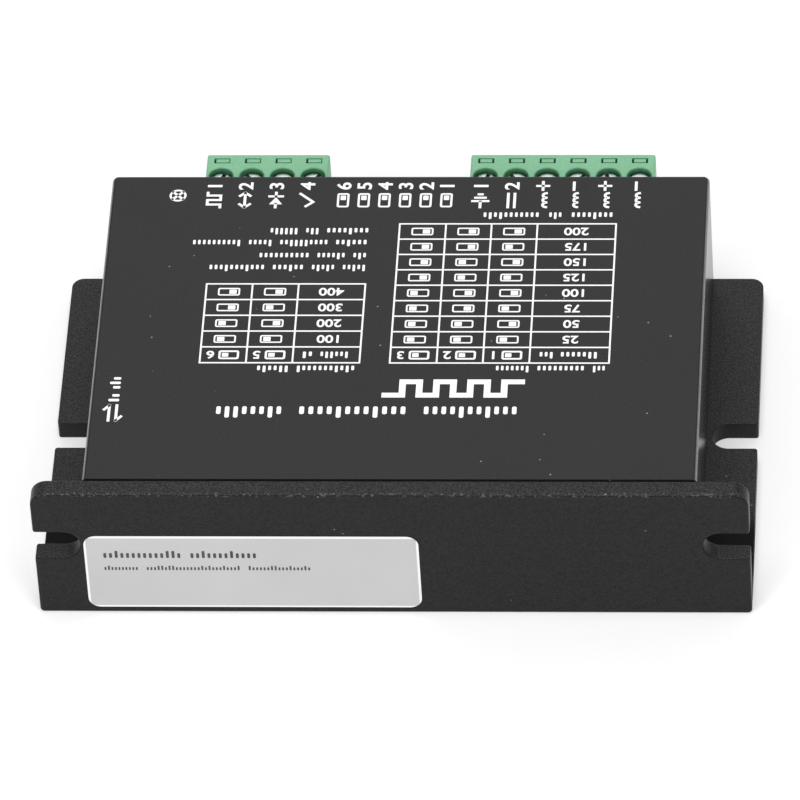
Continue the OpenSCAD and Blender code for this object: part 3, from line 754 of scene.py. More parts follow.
def make_cover():
    """The folded sheet: rounded bends, a rear window, a jack window, a light hole and four tabs."""
    shell = folded_box(COVER_LOW + Vector((0, EDGE_GAP, 0)), COVER_HIGH)
    thicken = shell.modifiers.new("sheet", "SOLIDIFY")
    thicken.thickness = COVER_T * MM
    thicken.offset = -1
    thicken.use_even_offset = True
    bake(shell)
    tab_root = COVER_HIGH.x - COVER_T + 0.3
    tabs = []
    for x, y in COVER_SCREWS:
        ends = sorted((math.copysign(tab_root, x), math.copysign(tab_root - TAB_LONG, x)))
        low = (ends[0], y - TAB_WIDE / 2, COVER_LOW.z)
        tabs.append(block("tab", low, (ends[1], y + TAB_WIDE / 2, COVER_LOW.z + COVER_T)))
    join(shell, tabs)
    rear = COVER_HIGH.y
    window = rounded_rect(
        (HEADERS["signal"][0].x - 0.3, HEADERS["signal"][0].z - 0.2),
        (HEADERS["power"][1].x + 0.3, HEADERS["power"][1].z + 0.25),
        0.4,
    )
    port = rounded_rect((JACK_LOW.y - 0.4, JACK_LOW.z + 1.3), (JACK_HIGH.y + 0.4, JACK_HIGH.z + 0.3), 0.5)
    cutters = [
        slab("window", [window], 4, 0, plane_matrix((1, 0, 0), (0, 0, 1), (0, rear - 0.4, 0))),
        slab("port", [port], 4, 0, plane_matrix((0, 1, 0), (0, 0, 1), (COVER_LOW.x + 0.4, 0, 0))),
        lathe("light_hole", [(1.6, -2), (1.6, 2)], (LED_CENTRE[0], rear, LED_CENTRE[1]), "Y"),
    ]
    for x, y in COVER_SCREWS:
        cutters.append(lathe("tab_hole", [(1.25, -1), (1.25, 1.5)], (x, y, COVER_LOW.z)))
    cut(shell, cutters)
    soften(shell, 0.07)
    place(shade(shell), "cover_paint", ["cover"])


# ---- Sticker ----


def make_sticker():
    """The blank silver sticker, with plain bars where a maker's print would be."""
    low = (LABEL_LOW.x, LABEL_LOW.z)
    high = (LABEL_HIGH.x, LABEL_HIGH.z)
    depth = LABEL_HIGH.y - LABEL_LOW.y
    middle = (LABEL_LOW.y + LABEL_HIGH.y) / 2
    upright = plane_matrix((1, 0, 0), (0, 0, 1), (0, middle, 0))
    film = slab("front_sticker", [rounded_rect(low, high, 1.5, 8)], depth, 0.03, upright)
    place(shade(film), "label_film", ["label"])
    bars = []
    for start, widths, height, z in (
        (2.3, (9.6, 8.2), 1.2, 10.0),
        (2.3, (4.2, 11.4, 7.6), 0.75, 7.7),
    ):
        bars += word_blocks(LABEL_LOW.x + start, widths, 0.9, z, height)
    ink = slab("sticker_bars", bars, 0.02, 0, plane_matrix((1, 0, 0), (0, 0, 1), (0, LABEL_LOW.y, 0)))
    place(ink, "label_film", material="label_ink")


# ---- Printing on the cover ----

INK_T = 0.03
LINE_W = 0.21
STROKE_W = 0.34
DICE = random.Random(7)


def word_blocks(start, widths, gap, y, height, up=1):
    """Rows of small blocks, one row for each word of a line that isn't spelt out."""
    outlines = []
    for width in widths:
        count = max(1, round(width / (height * 0.58)))
        pitch = width / count
        for k in range(count):
            tall = height * DICE.choice((0.68, 0.68, 0.68, 1.0))
            low = y - up * height / 2
            ends = sorted((low, low + up * tall))
            left = start + pitch * k
            outlines.append(rounded_rect((left, ends[0]), (left + pitch * 0.52, ends[1]), height * 0.1, 2))
        start += width + gap
    return outlines


def block_line(low, high, y, height, words, gap=0.8):
    """Word blocks that fill a line from low to high, shared out by words, a list of relative lengths."""
    room = high - low - gap * (len(words) - 1)
    widths = [room * word / sum(words) for word in words]
    return word_blocks(low, widths, gap, y, height, -1)


def stroke(points, width):
    """Outline of an open line of the given width, with square ends and mitred corners."""
    points = [Vector(point) for point in points]
    left = []
    right = []
    for i, here in enumerate(points):
        before = (here - points[i - 1]).normalized() if i > 0 else None
        after = (points[i + 1] - here).normalized() if i + 1 < len(points) else None
        direction = ((before or after) + (after or before)).normalized()
        normal = Vector((-direction.y, direction.x))
        reach = width / 2 / max(0.35, normal.dot(Vector((-(before or after).y, (before or after).x))))
        cap = direction * (width / 2)
        at = here - cap if before is None else here + cap if after is None else here
        left.append(at + normal * reach)
        right.append(at - normal * reach)
    return [tuple(p) for p in left + right[::-1]]


def turned(shapes, at, angle):
    """Flat shapes turned by an angle in degrees and moved to a place."""
    c = math.cos(math.radians(angle))
    s = math.sin(math.radians(angle))

    def move(outline):
        return [(at[0] + c * x - s * y, at[1] + s * x + c * y) for x, y in outline]

    return [[move(outline) for outline in shape] for shape in shapes]


# Plain signs about 2.6 mm long and 1.8 mm high, as strokes along x with their middle on the x axis
SIGNS = {
    "pulse": [[(0, -0.8), (0.5, -0.8), (0.5, 0.8), (1.3, 0.8), (1.3, -0.8), (2.1, -0.8), (2.1, 0.8),
               (2.6, 0.8)]],
    "direction": [[(0, 0), (2.6, 0)], [(2.05, -0.62), (2.6, 0), (2.05, 0.62)],
                  [(0.55, 0.62), (0, 0), (0.55, -0.62)]],
    "diode": [[(1.95, -0.8), (1.95, 0.8)], [(0, 0), (0.6, 0)], [(1.95, 0), (2.6, 0)]],
    "enable": [[(0.2, 0.05), (0.95, -0.8), (2.4, 0.8)]],
    "ground": [[(0, 0), (1.0, 0)], [(1.1, -0.95), (1.1, 0.95)], [(1.7, -0.6), (1.7, 0.6)],
               [(2.3, -0.2), (2.3, 0.2)]],
    "supply": [[(0, 0.4), (2.4, 0.4)], [(0, -0.4), (0.55, -0.4)], [(0.92, -0.4), (1.48, -0.4)],
               [(1.85, -0.4), (2.4, -0.4)]],
    "coil": [sum((arc((0.42 + 0.84 * k, -0.45), 0.4, 180, 0, 8) for k in range(3)), [])],
    "light": [[(0.26, -0.64), (1.54, 0.64)], [(0.26, 0.64), (1.54, -0.64)]],
    "switch": [],
    "exchange": [[(0, 0.45), (2.6, 0.45)], [(1.9, 1.05), (2.6, 0.45)], [(0, -0.45), (2.6, -0.45)],
                 [(0.7, -1.05), (0, -0.45)]],
    "plus": [[(0, 0), (1.4, 0)], [(0.7, -0.7), (0.7, 0.7)]],
    "minus": [[(0, 0), (1.3, 0)]],
}
# Filled or ringed shapes that some signs have besides their strokes
SOLID_SIGNS = {
    "diode": [[[(0.55, -0.8), (0.55, 0.8), (1.8, 0)]]],
    "light": [[circle((0.9, 0), 1.05, 28), circle((0.9, 0), 0.78, 28)]],
    "switch": [
        [rounded_rect((0, -0.75), (2.5, 0.75), 0.3), rounded_rect((0.26, -0.49), (2.24, 0.49), 0.12)],
        [rounded_rect((1.3, -0.33), (2.08, 0.33), 0.08)],
    ],
}


def symbol(kind):
    """Shapes of a plain sign."""
    return SOLID_SIGNS.get(kind, []) + [[stroke(route, STROKE_W)] for route in SIGNS[kind]]


def print_shapes(name, shapes):
    """White print on the cover's top: each shape is a rim and its holes, a hair thick."""
    plane = plane_matrix((1, 0, 0), (0, 1, 0), (0, COVER_HIGH.y, COVER_HIGH.z + INK_T * 0.4))
    printed = merged(name, [slab(name, shape, INK_T, 0, plane) for shape in shapes])
    place(printed, "cover_paint", material="print")


def numerals(name, entries, matrix, slot):
    """Printed numbers: entries of (text, middle, height, angle) on the plane of a matrix."""
    shapes = []
    for text, at, height, angle in entries:
        curve = bpy.data.curves.new("numeral", "FONT")
        curve.body = text
        curve.size = 1
        curve.extrude = 0.5
        curve.offset = 0.02
        digits = from_curve("numeral", curve)
        mesh = digits.data
        xs = [vert.co.x for vert in mesh.vertices]
        ys = [vert.co.y for vert in mesh.vertices]
        middle = Vector(((min(xs) + max(xs)) / 2, (min(ys) + max(ys)) / 2, 0))
        scale = height / (max(ys) - min(ys))
        mesh.transform(Matrix.Translation(-middle))
        mesh.transform(Matrix.Diagonal((scale * 1.12, scale, INK_T, 1)))
        mesh.transform(Matrix.Rotation(math.radians(angle), 4, "Z"))
        mesh.transform(Matrix.Translation((at[0], at[1], INK_T * 0.4)))
        shapes.append(digits)
    group = merged(name, shapes)
    group.data.transform(matrix)
    clean(group, 0.0005 * MM)
    place(group, slot, material="print")


# The print's own plane: x as the frame's, y from the cover's rear edge and negative towards the wall
PRINT_PLANE = plane_matrix((1, 0, 0), (0, 1, 0), (0, COVER_HIGH.y, COVER_HIGH.z))


def switch_centres():
    """Centres of the six switches along X, the first at the +X end."""
    return [centre(f"switch_slider_{i}")[0] for i in range(1, 7)]


def make_terminal_marks():
    """A sign and a number beside each terminal, switch and light, turned to read from the right."""
    start_y = -5.75
    number_y = -1.95
    marks = []
    numbers = []
    signs = {
        "signal": ("pulse", "direction", "diode", "enable"),
        "power": ("ground", "supply", "coil", "coil", "coil", "coil"),
    }
    polarity = {2: "plus", 3: "minus", 4: "plus", 5: "minus"}
    for kind, names in signs.items():
        for i, (x, name) in enumerate(zip(pole_centres(kind), names)):
            marks += turned(symbol(name), (x, start_y), 90)
            if kind == "power" and i in polarity:
                marks += turned(symbol(polarity[i]), (x, number_y - 0.7), 90)
            else:
                numbers.append((str(i + 1), (x, number_y), 1.8, 90))
    for i, x in enumerate(switch_centres()):
        marks += turned(symbol("switch"), (x, start_y), 90)
        numbers.append((str(i + 1), (x, number_y), 1.8, 90))
    marks += turned(symbol("light"), (-28.5, start_y + 1.2), 90)
    marks += turned(symbol("exchange"), (-33.9, -43.0), 90)
    marks += turned([word_blocks(0, (1.6, 2.3), 0.6, 0, 1.3)], (-33.9, -39.7), 90)
    print_shapes("print_terminal_signs", marks)
    numerals("print_terminal_numbers", numbers, PRINT_PLANE, "cover_paint")


def table_grid(xs, ys):
    """A table's lines as one plate with a hole for each cell."""
    half = LINE_W / 2
    shape = [rounded_rect((xs[0] - half, ys[0] - half), (xs[-1] + half, ys[-1] + half), 0.05, 2)]
    for left, right in zip(xs, xs[1:]):
        for low, high in zip(ys, ys[1:]):
            shape.append(rounded_rect((left + half, low + half), (right - half, high - half), 0.03, 1))
    return shape


def switch_cell(x, y, on):
    """A small slide switch sign, its block at one end for on and at the other for off."""
    half_w = 1.35
    half_h = 0.66
    side = -1 if on else 1
    outer = rounded_rect((x - half_w, y - half_h), (x + half_w, y + half_h), 0.25, 3)
    inner = rounded_rect((x - half_w + 0.2, y - half_h + 0.2), (x + half_w - 0.2, y + half_h - 0.2), 0.1, 3)
    middle = x + side * (half_w - 0.85)
    knob = rounded_rect((middle - 0.45, y - half_h + 0.3), (middle + 0.45, y + half_h - 0.3), 0.06, 3)
    return [outer, inner, knob]


def make_table(name, xs, low_y, high_y, rows, first_switch, value_step):
    """A setting table that reads from the connectors' side: its head row is the one nearest the wall."""
    pitch = (high_y - low_y) / rows
    ys = [low_y + pitch * k for k in range(rows + 1)]
    cells = [(a + b) / 2 for a, b in zip(xs, xs[1:])][::-1]
    head_y = ys[0] + pitch / 2
    shapes = [table_grid(xs, ys), block_line(xs[-2] + 1.2, xs[-1] - 1.2, head_y, 1.1, (2, 5), 0.7)]
    numbers = []
    for k, x in enumerate(cells[1:]):
        shapes += turned(symbol("switch"), (x + 1.9, head_y), 180)
        numbers.append((str(first_switch + k), (x - 1.6, head_y), 1.35, 180))
    for row in range(1, rows):
        y = ys[row] + pitch / 2
        numbers.append((str(row * value_step), (cells[0], y), 1.35, 180))
        for k, x in enumerate(cells[1:]):
            shapes.append(switch_cell(x, y, not (row - 1) >> k & 1))
    print_shapes(name, shapes)
    numerals(name + "_numbers", numbers, PRINT_PLANE, "cover_paint")


def make_print():
    """All white printing on the cover. Words are rows of blocks; only numbers and signs are drawn."""
    make_terminal_marks()
    current_xs = (-0.9, 4.77, 10.36, 15.98, 25.6)
    make_table("print_current_table", current_xs, -33.06, -8.7, rows=9, first_switch=1, value_step=25)
    step_xs = (-23.95, -18.33, -12.7, -4.57)
    make_table("print_step_table", step_xs, -33.04, -19.3, rows=5, first_switch=5, value_step=100)
    words = block_line(9.3, 25.4, -7.25, 1.15, (4, 1, 3), 1.0)
    for low, high, y, lengths in (
        (-16.7, -4.4, -10.0, (4, 2, 6)),
        (-26.1, -4.5, -12.1, (6, 3, 6, 4)),
        (-17.8, -4.5, -14.4, (7, 4, 2)),
        (-23.8, -4.5, -16.5, (7, 4, 3, 3)),
        (-16.9, -4.84, -34.1, (5, 9)),
        (12.0, 25.4, -34.1, (5, 7, 2)),
    ):
        words += block_line(low, high, y, 1.1, lengths)
    words += block_line(-21.4, 15.3, -41.5, 1.9, (5, 8, 7), 1.7)
    print_shapes("print_words", [words])
    half_pulse = 2.05
    pulses = []
    for k in range(4):
        x = -1.2 + 2 * half_pulse * k
        middle = x + half_pulse
        pulses += [(x, -38.6), (middle, -38.6), (middle, -36.3), (middle + half_pulse, -36.3)]
    print_shapes("print_pulse_train", [[stroke(pulses, 0.8)]])


# ---- Terminals ----

SCREW_LOW, SCREW_HIGH = box_mm("signal_screw_1")
CLAMP_LOW, CLAMP_HIGH = box_mm("signal_clamp_1")
CLAMP_LIFT = 2.0
SCREW_HEAD_H = 1.4
SHANK_R = 1.0
# Ends of each test window that have a slot down to the metal: -1 the low X end, 1 the high one
PROBE_SLOTS = {"signal": (-1,), "power": (-1, 1)}
BAR_Z = (box_mm("signal_contacts")[0].z, box_mm("signal_contacts")[0].z + 0.8)
PIN_Z = box_mm("signal_header_pins")[1].z - 0.4


def tapered(name, near, far):
    """A cutting shape between two rectangles across Y: each is (x, z low, z high, half width, y)."""
    bm = bmesh.new()
    rings = []
    for x, z_low, z_high, half, y in (near, far):
        corners = ((x - half, z_low), (x + half, z_low), (x + half, z_high), (x - half, z_high))
        rings.append([bm.verts.new((cx * MM, y * MM, cz * MM)) for cx, cz in corners])
    for k in range(4):
        bm.faces.new((rings[0][k], rings[0][(k + 1) % 4], rings[1][(k + 1) % 4], rings[1][k]))
    bm.faces.new(rings[0])
    bm.faces.new(rings[1])
    bmesh.ops.recalc_face_normals(bm, faces=bm.faces)
    return from_bmesh(name, bm)


def pole_cutters(kind, x, low, high):
    """What is cut from a plug for one pole, low and high being the corners of the whole plug."""
    head_low = SCREW_HIGH.z - SCREW_HEAD_H - 0.05
    top = high.z
    shank = SHANK_R + 0.1
    mouth = SCREW_HOLE_R + 0.14
    hole = [(shank, CLAMP_HIGH.z), (shank, head_low), (SCREW_HOLE_R, head_low)]
    hole += [(SCREW_HOLE_R, top - 0.14), (mouth, top), (mouth, top + 1)]
    entry_z = (CLAMP_LOW.z + 0.3, BAR_Z[1] - 0.1)
    outer = high.y
    probe_slots = []
    for side in PROBE_SLOTS[kind]:
        ends = sorted((x + side * 0.76, x + side * 0.98))
        slot_low = (ends[0], outer - 1.63, top - 1.2)
        probe_slots.append(block("probe_slot", slot_low, (ends[1], outer - 0.77, top + 1)))
    room_z = (CLAMP_LOW.z - 0.1, CLAMP_HIGH.z + CLAMP_LIFT + 0.2)
    channel_z = (PIN_Z - 1.3, PIN_Z + 1.4)
    inner = SCREW_Y - 1.7
    return probe_slots + [
        lathe("screw_hole", hole, (x, SCREW_Y, 0), "Z", 36),
        bar("clamp_room", x, 1.6, (SCREW_Y - 1.8, SCREW_Y + 1.8), room_z),
        bar("wire_entry", x, 1.3, (SCREW_Y + 1.7, outer + 1), entry_z, 0.3, 3),
        tapered("funnel", (x, entry_z[0], entry_z[1], 1.28, outer - 0.75),
                (x, entry_z[0] - 0.32, entry_z[1] + 0.32, 1.6, outer + 0.05)),
        bar("test_window", x, 1, WINDOW_Y, (top - 0.6, top + 1)),
        bar("channel", x, 1.15, (low.y - 1, inner), channel_z, 0.15),
        bar("riser_room", x, 1.15, (SCREW_Y - 4.2, inner), (BAR_Z[0] - 0.1, PIN_Z + 1.35)),
    ]


def make_plug(kind):
    """One plug housing: a rounded block and its nose, with a room for each pole."""
    node = kind + "_plug_housing"
    low, high = box_mm(node)
    header_low, header_high = HEADERS[kind]
    face = COVER_HIGH.y + 0.2
    nose_low = (header_low.x + 0.91, low.y, header_low.z + 0.9)
    nose_high = (header_high.x - 0.91, face + 0.1, header_high.z - 0.9)
    shell = block(f"{kind}_plug_shell", (low.x, face, low.z), high, 0.28, 3)
    join(shell, [block("nose", nose_low, nose_high, 0.18)])
    centres = pole_centres(kind)
    cutters = []
    for x in centres:
        cutters += pole_cutters(kind, x, low, high)
    for x in [(a + b) / 2 for a, b in zip(centres, centres[1:])]:
        cutters.append(bar("under_groove", x, 0.2, (face + 1.4, high.y - 1.4), (low.z - 1, low.z + 0.3)))
    for x in (low.x, high.x):
        cutters.append(bar("side_groove", x, 0.22, (face + 1.6, high.y + 1), (high.z - 4.6, high.z - 3.8)))
    cut(shell, cutters)
    islands = []
    for x in centres:
        ends = [x + side * (0.74 if side in PROBE_SLOTS[kind] else 0.88) for side in (-1, 1)]
        island_low = (ends[0], WINDOW_Y[0] + 0.24, high.z - 0.8)
        islands.append(block("island", island_low, (ends[1], WINDOW_Y[1] - 0.12, high.z - 0.06)))
    join(shell, islands)
    soften(shell, 0.05, 50)
    place(shade(shell), "terminal_green", [node], kind + "_plug")


def screw_pattern():
    """One terminal screw standing on the origin: a dished, slotted head over a threaded shank."""
    height = SCREW_HIGH.z - SCREW_LOW.z
    head = height - SCREW_HEAD_H
    profile = [(0, 0), (0.75, 0), (0.86, 0.12)]
    z = 0.3
    while z < head - 0.35:
        profile += [(SHANK_R, z), (0.86, z + 0.2)]
        z += 0.4
    profile += [(0.9, head), (1.22, head), (1.3, head + 0.08), (1.3, height - 0.12)]
    profile += [(1.2, height), (0, height - 0.07)]
    screw = lathe("screw_pattern", profile, (0, 0, 0), "Z", 32)
    slot = block("slot", (-2, -0.25, height - 0.7), (2, 0.25, height + 1))
    cut(screw, [slot])
    return soften(screw, 0.05, 45)


def clamp_pattern():
    """One wire clamp round the origin of X and Y: a bent ring with teeth on its floor."""
    low = (-1.5, -1.5, CLAMP_LOW.z)
    high = (1.5, 1.5, CLAMP_HIGH.z)
    clamp = block("clamp_pattern", low, high, 0.3, 3)
    inside = (CLAMP_LOW.z + 0.4, CLAMP_HIGH.z - 0.8)
    thread_r = SHANK_R + 0.05
    cutters = [
        bar("window", 0, 1.1, (-2, 2), inside, 0.2, 3),
        lathe("thread", [(thread_r, inside[1] - 0.5), (thread_r, CLAMP_HIGH.z + 1)], (0, 0, 0), "Z", 28),
    ]
    for k in range(4):
        y = -0.9 + 0.6 * k
        cutters.append(bar("tooth_gap", 0, 0.95, (y - 0.13, y + 0.13), (inside[0] - 0.1, inside[0] + 0.2)))
    cut(clamp, cutters)
    return clamp


def make_screws_and_clamps():
    """A screw and a clamp for each pole, each riding on its own body."""
    patterns = {
        "screw": ("terminal_screw", screw_pattern(), SCREW_LOW.z),
        "clamp": ("wire_clamp", clamp_pattern(), 0),
    }
    for kind in POLES:
        for i, x in enumerate(pole_centres(kind), 1):
            for part, (label, pattern, z) in patterns.items():
                matrix = Matrix.Translation(Vector((x, SCREW_Y, z)) * MM)
                if part == "screw":
                    matrix @= Matrix.Rotation(math.radians(20 + 53 * i), 4, "Z")
                mesh = pattern.data.copy()
                mesh.transform(matrix)
                piece = shade(add_object(f"{kind}_{label}_{i}", mesh))
                node = f"{kind}_{part}_{i}"
                place(piece, "zinc_steel", [node], node)
    for _, pattern, _ in patterns.values():
        bpy.data.objects.remove(pattern)


def make_header(kind):
    """Header on the board: an open-fronted box with a chamfered mouth and a hole for each pin."""
    node = kind + "_header"
    low, high = HEADERS[kind]
    wall = 0.75
    shell = block(kind + "_header_shell", low, high, 0.15, 2)
    mouth_low = (low.x + wall, low.y + 1.3, low.z + wall)
    cutters = [block("mouth", mouth_low, (high.x - wall, high.y + 1, high.z - wall))]
    for x in pole_centres(kind):
        cutters.append(bar("pin_hole", x, 0.42, (low.y - 1, low.y + 3), (PIN_Z - 0.42, PIN_Z + 0.42)))
        cutters.append(bar("key", x, 0.5, (low.y + 3.2, high.y + 1), (high.z - 0.4, high.z + 1)))
    cut(shell, cutters)
    soften(shell, 0.08, 50, 2)
    place(shade(shell), "terminal_green", [node])


def make_header_pins(kind):
    """Bent square pins with chamfered tips and a little solder round each leg."""
    low, high = box_mm(kind + "_header_pins")
    half = 0.4
    board_low = BOARD_Z[0]
    shapes = []
    for x in pole_centres(kind):
        pin = bar("pin", x, half, (low.y, high.y), (PIN_Z - half, PIN_Z + half), 0.05, 1)
        for vert in pin.data.vertices:
            if vert.co.y > (high.y - 0.2) * MM:
                vert.co.x = (x + (vert.co.x / MM - x) * 0.5) * MM
                vert.co.z = (PIN_Z + (vert.co.z / MM - PIN_Z) * 0.5) * MM
        leg = bar("leg", x, half, (low.y, low.y + 2 * half), (low.z, PIN_Z), 0.05, 1)
        join(pin, [leg])
        shapes.append(pin)
        cone = ((0.38, 1.0), (0.5, 0.75), (0.75, 0.25), (0.95, 0.02))
        solder = [(radius, board_low - drop) for radius, drop in cone]
        shapes.append(lathe("solder", solder, (x, low.y + half, 0), "Z", 16))
    pins = merged(kind + "_pin_row", shapes)
    place(shade(pins), "tinned_contact", [kind + "_header_pins"])


# ---- Switch bank ----

SWITCH_LOW, SWITCH_HIGH = box_mm("switch_body")
SWITCH_TRAVEL = 1.6
REAR_PLANE = plane_matrix((-1, 0, 0), (0, 0, 1), (0, SWITCH_HIGH.y, 0))


def make_switch_body():
    """Black body with a stepped window for each slider, and printed numbers and on arrows."""
    middle = (SWITCH_LOW.z + SWITCH_HIGH.z) / 2
    reach = 0.8 + SWITCH_TRAVEL / 2 + 0.1
    low = middle - reach
    high = middle + reach
    face = SWITCH_HIGH.y
    body = block("switch_case", SWITCH_LOW, SWITCH_HIGH, 0.22)
    cutters = []
    for x in switch_centres():
        rim = (x, low, high, 0.68, face - 0.3), (x, low - 0.3, high + 0.3, 0.98, face + 0.02)
        cutters.append(bar("window", x, 0.7, (face - 2, face + 1), (low, high)))
        cutters.append(bar("race", x, 1, (face - 2.7, face - 1.4), (low - 0.5, high + 0.5)))
        cutters.append(tapered("rim", *rim))
    cut(body, cutters)
    soften(body, 0.05, 50, 1)
    place(shade(body), "black_plastic", ["switch_body"])
    numbers = []
    arrows = []
    for i, x in enumerate(switch_centres(), 1):
        numbers.append((str(i), (-x, SWITCH_LOW.z + 0.95), 0.95, 0))
        foot = SWITCH_HIGH.z - 1.15
        arrows.append([(-x - 0.45, foot), (-x + 0.45, foot), (-x, SWITCH_HIGH.z - 0.5)])
    numerals("switch_numbers", numbers, REAR_PLANE, "black_plastic")
    at = plane_matrix((-1, 0, 0), (0, 0, 1), (0, SWITCH_HIGH.y + INK_T * 0.4, 0))
    shape = slab("switch_on_arrows", arrows, INK_T, 0, at)
    place(shape, "black_plastic", material="print")


def make_sliders():
    """Six white sliders, each with a grip groove in its nub, riding on their own bodies."""
    for i in range(1, 7):
        node = f"switch_slider_{i}"
        low, high = box_mm(node)
        x, _, z = centre(node)
        nub = bar(f"switch_lever_{i}", x, 0.6, (low.y + 1, high.y), (z - 0.8, z + 0.8), 0.13, 3)
        foot = bar("foot", x, 0.9, (low.y, low.y + 1.1), (z - 1.2, z + 1.2), 0.08, 1)
        join(nub, [foot])
        groove = lathe("groove", [(0.3, -1), (0.3, 1)], (x, high.y + 0.12, z), "X", 20)
        cut(nub, [groove])
        place(shade(nub), "slider_white", [node], f"switch_{i}")


# ---- Light and serial jack ----


def make_lens():
    """Domed lens with a flanged foot, its leads left as they are."""
    radius = (LED_HIGH.x - LED_LOW.x) / 2 - 0.4
    back = LED_LOW.y
    tip = LED_HIGH.y
    profile = [(0, back), (radius + 0.3, back), (radius + 0.4, back + 0.1), (radius + 0.4, back + 0.9),
               (radius + 0.3, back + 1.0), (radius, back + 1.02)]
    profile += [(r, tip - radius + h) for r, h in arc((0, 0), radius, 0, 84, 12)]
    profile.append((0, tip))
    lens = lathe("power_light_lens", profile, (LED_CENTRE[0], 0, LED_CENTRE[1]), "Y", 40)
    place(shade(lens), "lens_green", ["status_led"])


JACK_PITCH = 1.02


def make_jack():
    """Six-way jack: a black shell with a stepped port, a latch notch and a comb over the wires."""
    low, high = JACK_LOW, JACK_HIGH
    board_top = BOARD_Z[1]
    y = centre("serial_jack")[1]
    port = (board_top + 2, board_top + 9)
    leg_x = low.x + 14.15
    shell = block("jack_shell", (low.x, low.y, board_top), high, 0.25, 2)
    cutters = [
        block("port", (low.x - 1, y - 4.95, port[0]), (low.x + 13, y + 4.95, port[1]), 0.15, 2),
        block("shoulder", (low.x - 1, y - 3.1, port[0] - 0.9), (low.x + 12, y + 3.1, port[0] + 0.4)),
        block("notch", (low.x - 1, y - 1.7, port[0] - 1.6), (low.x + 11, y + 1.7, port[0])),
        bar("back_slot", leg_x, 0.6, (y - 3.46, y + 3.46), (board_top - 1, port[1] + 1.5)),
    ]
    for k in range(6):
        wire_y = y + (k - 2.5) * JACK_PITCH
        comb_low = (low.x + 2.6, wire_y - 0.36, port[1] - 0.2)
        cutters.append(block("comb", comb_low, (leg_x, wire_y + 0.36, port[1] + 1.5)))
    for wall in (low.y, high.y):
        step_low = (low.x + 4, wall - 0.3, board_top + 1.5)
        cutters.append(block("side_step", step_low, (high.x - 1.5, wall + 0.3, high.z - 1.5)))
    cut(shell, cutters)
    peg = [(1.2, low.z), (1.5, low.z + 0.3), (1.5, board_top + 0.4)]
    pegs = [lathe("peg", peg, (low.x + 7, y + offset, 0), "Z", 28) for offset in (-5, 5)]
    join(shell, pegs)
    soften(shell, 0.08, 50, 1)
    place(shade(shell), "black_plastic", ["serial_jack"])


def tube(name, points, radius):
    """A round wire along an open line of points."""
    curve = new_curve(name, "3D", radius * MM, [[Vector(at) * MM for at in points]])
    curve.use_fill_caps = True
    return clean(from_curve(name, curve))


def make_jack_wires():
    """Six gold spring wires: up behind the port, forward over it and back into it on a slant."""
    low, high = box_mm("serial_contacts")
    radius = 0.2
    leg_x = high.x - 0.225
    top = high.z - 0.225
    front = JACK_LOW.x + 3.6
    bend = 0.7
    wires = []
    for k in range(6):
        y = centre("serial_jack")[1] + (k - 2.5) * JACK_PITCH
        path = [(leg_x, low.z + 0.05)]
        path += arc((leg_x - bend, top - bend), bend, 0, 90, 6)
        path += arc((front + 0.4, top - 0.42), 0.42, 90, 240, 8)
        path.append((front + 5.2, top - 3.1))
        wires.append(tube("wire", [(x, y, z) for x, z in path], radius))
    group = merged("jack_wires", wires)
    place(shade(group), "gold_contact", ["serial_contacts"])


# ---- Screws of the board and cover ----


def cross_cutter(at, low, high, reach, width):
    """Two crossed blades, for a cross recess."""
    x, y = at
    blades = []
    for half_x, half_y in ((reach, width / 2), (width / 2, reach)):
        blades.append(bar("blade", x, half_x, (y - half_y, y + half_y), (low, high)))
    return blades


def screw_group(node, name, places, profile, cross, slot):
    """The same cross-headed screw at several places, as one piece."""
    screws = []
    for at in places:
        screw = lathe("screw", profile, (*at, 0), "Z", 36)
        cut(screw, cross_cutter(at, *cross))
        screws.append(screw)
    group = soften(merged(name, screws), 0.05, 50, 1)
    place(shade(group), slot, [node])


def make_cover_screws():
    """Four countersunk screws, seen from below in the base."""
    low, high = box_mm("cover_screws")
    shank = 1.23
    profile = [(0, low.z), (SINK_R - 0.2, low.z), (SINK_R - 0.14, low.z + 0.05), (shank, SINK_DEPTH + 0.02)]
    profile += [(shank, high.z - 0.3), (1.0, high.z), (0, high.z)]
    cross = (low.z - 1, 0.75, 1.25, 0.55)
    screw_group("cover_screws", "cover_fixings", COVER_SCREWS, profile, cross, "black_steel")


def make_board_screws():
    """Four pan head screws through the board and its spacers."""
    low, high = box_mm("board_screws")
    board_top = BOARD_Z[1]
    shank = 1.48
    head = 2.75
    profile = [(0, low.z), (1.1, low.z), (shank, low.z + 0.3), (shank, board_top), (head, board_top)]
    profile.append((head, board_top + 0.8))
    profile += [(head - 1 + r, board_top + 0.8 + h) for r, h in arc((0, 0), 1.0, 8, 90, 6)]
    profile.append((0, high.z))
    cross = (board_top + 0.7, high.z + 1, 1.5, 0.6)
    screw_group("board_screws", "board_fixings", BOARD_SCREWS, profile, cross, "zinc_steel")


# ---- The frame's own nodes that keep their shape ----

KEPT_NODES = {
    "circuit_board": "board_green",
    "board_spacers": "brass_spacer",
    "insulation_sheet": "film",
    "thermal_pad": "gap_pad",
    "power_mosfets": "chip_resin",
    "gate_drivers": "chip_resin",
    "controller_chip": "chip_resin",
    "optocouplers": "chip_resin",
    "voltage_regulator": "chip_resin",
    "sense_resistors": "ceramic",
    "crystal": "crystal_can",
    "power_inductor": "ferrite",
    "bulk_capacitors": "capacitor_sleeve",
    "small_passives": "ceramic",
    "signal_contacts": "tinned_contact",
    "power_contacts": "tinned_contact",
    "switch_pins": "tinned_contact",
    "led_leads": "tinned_contact",
}


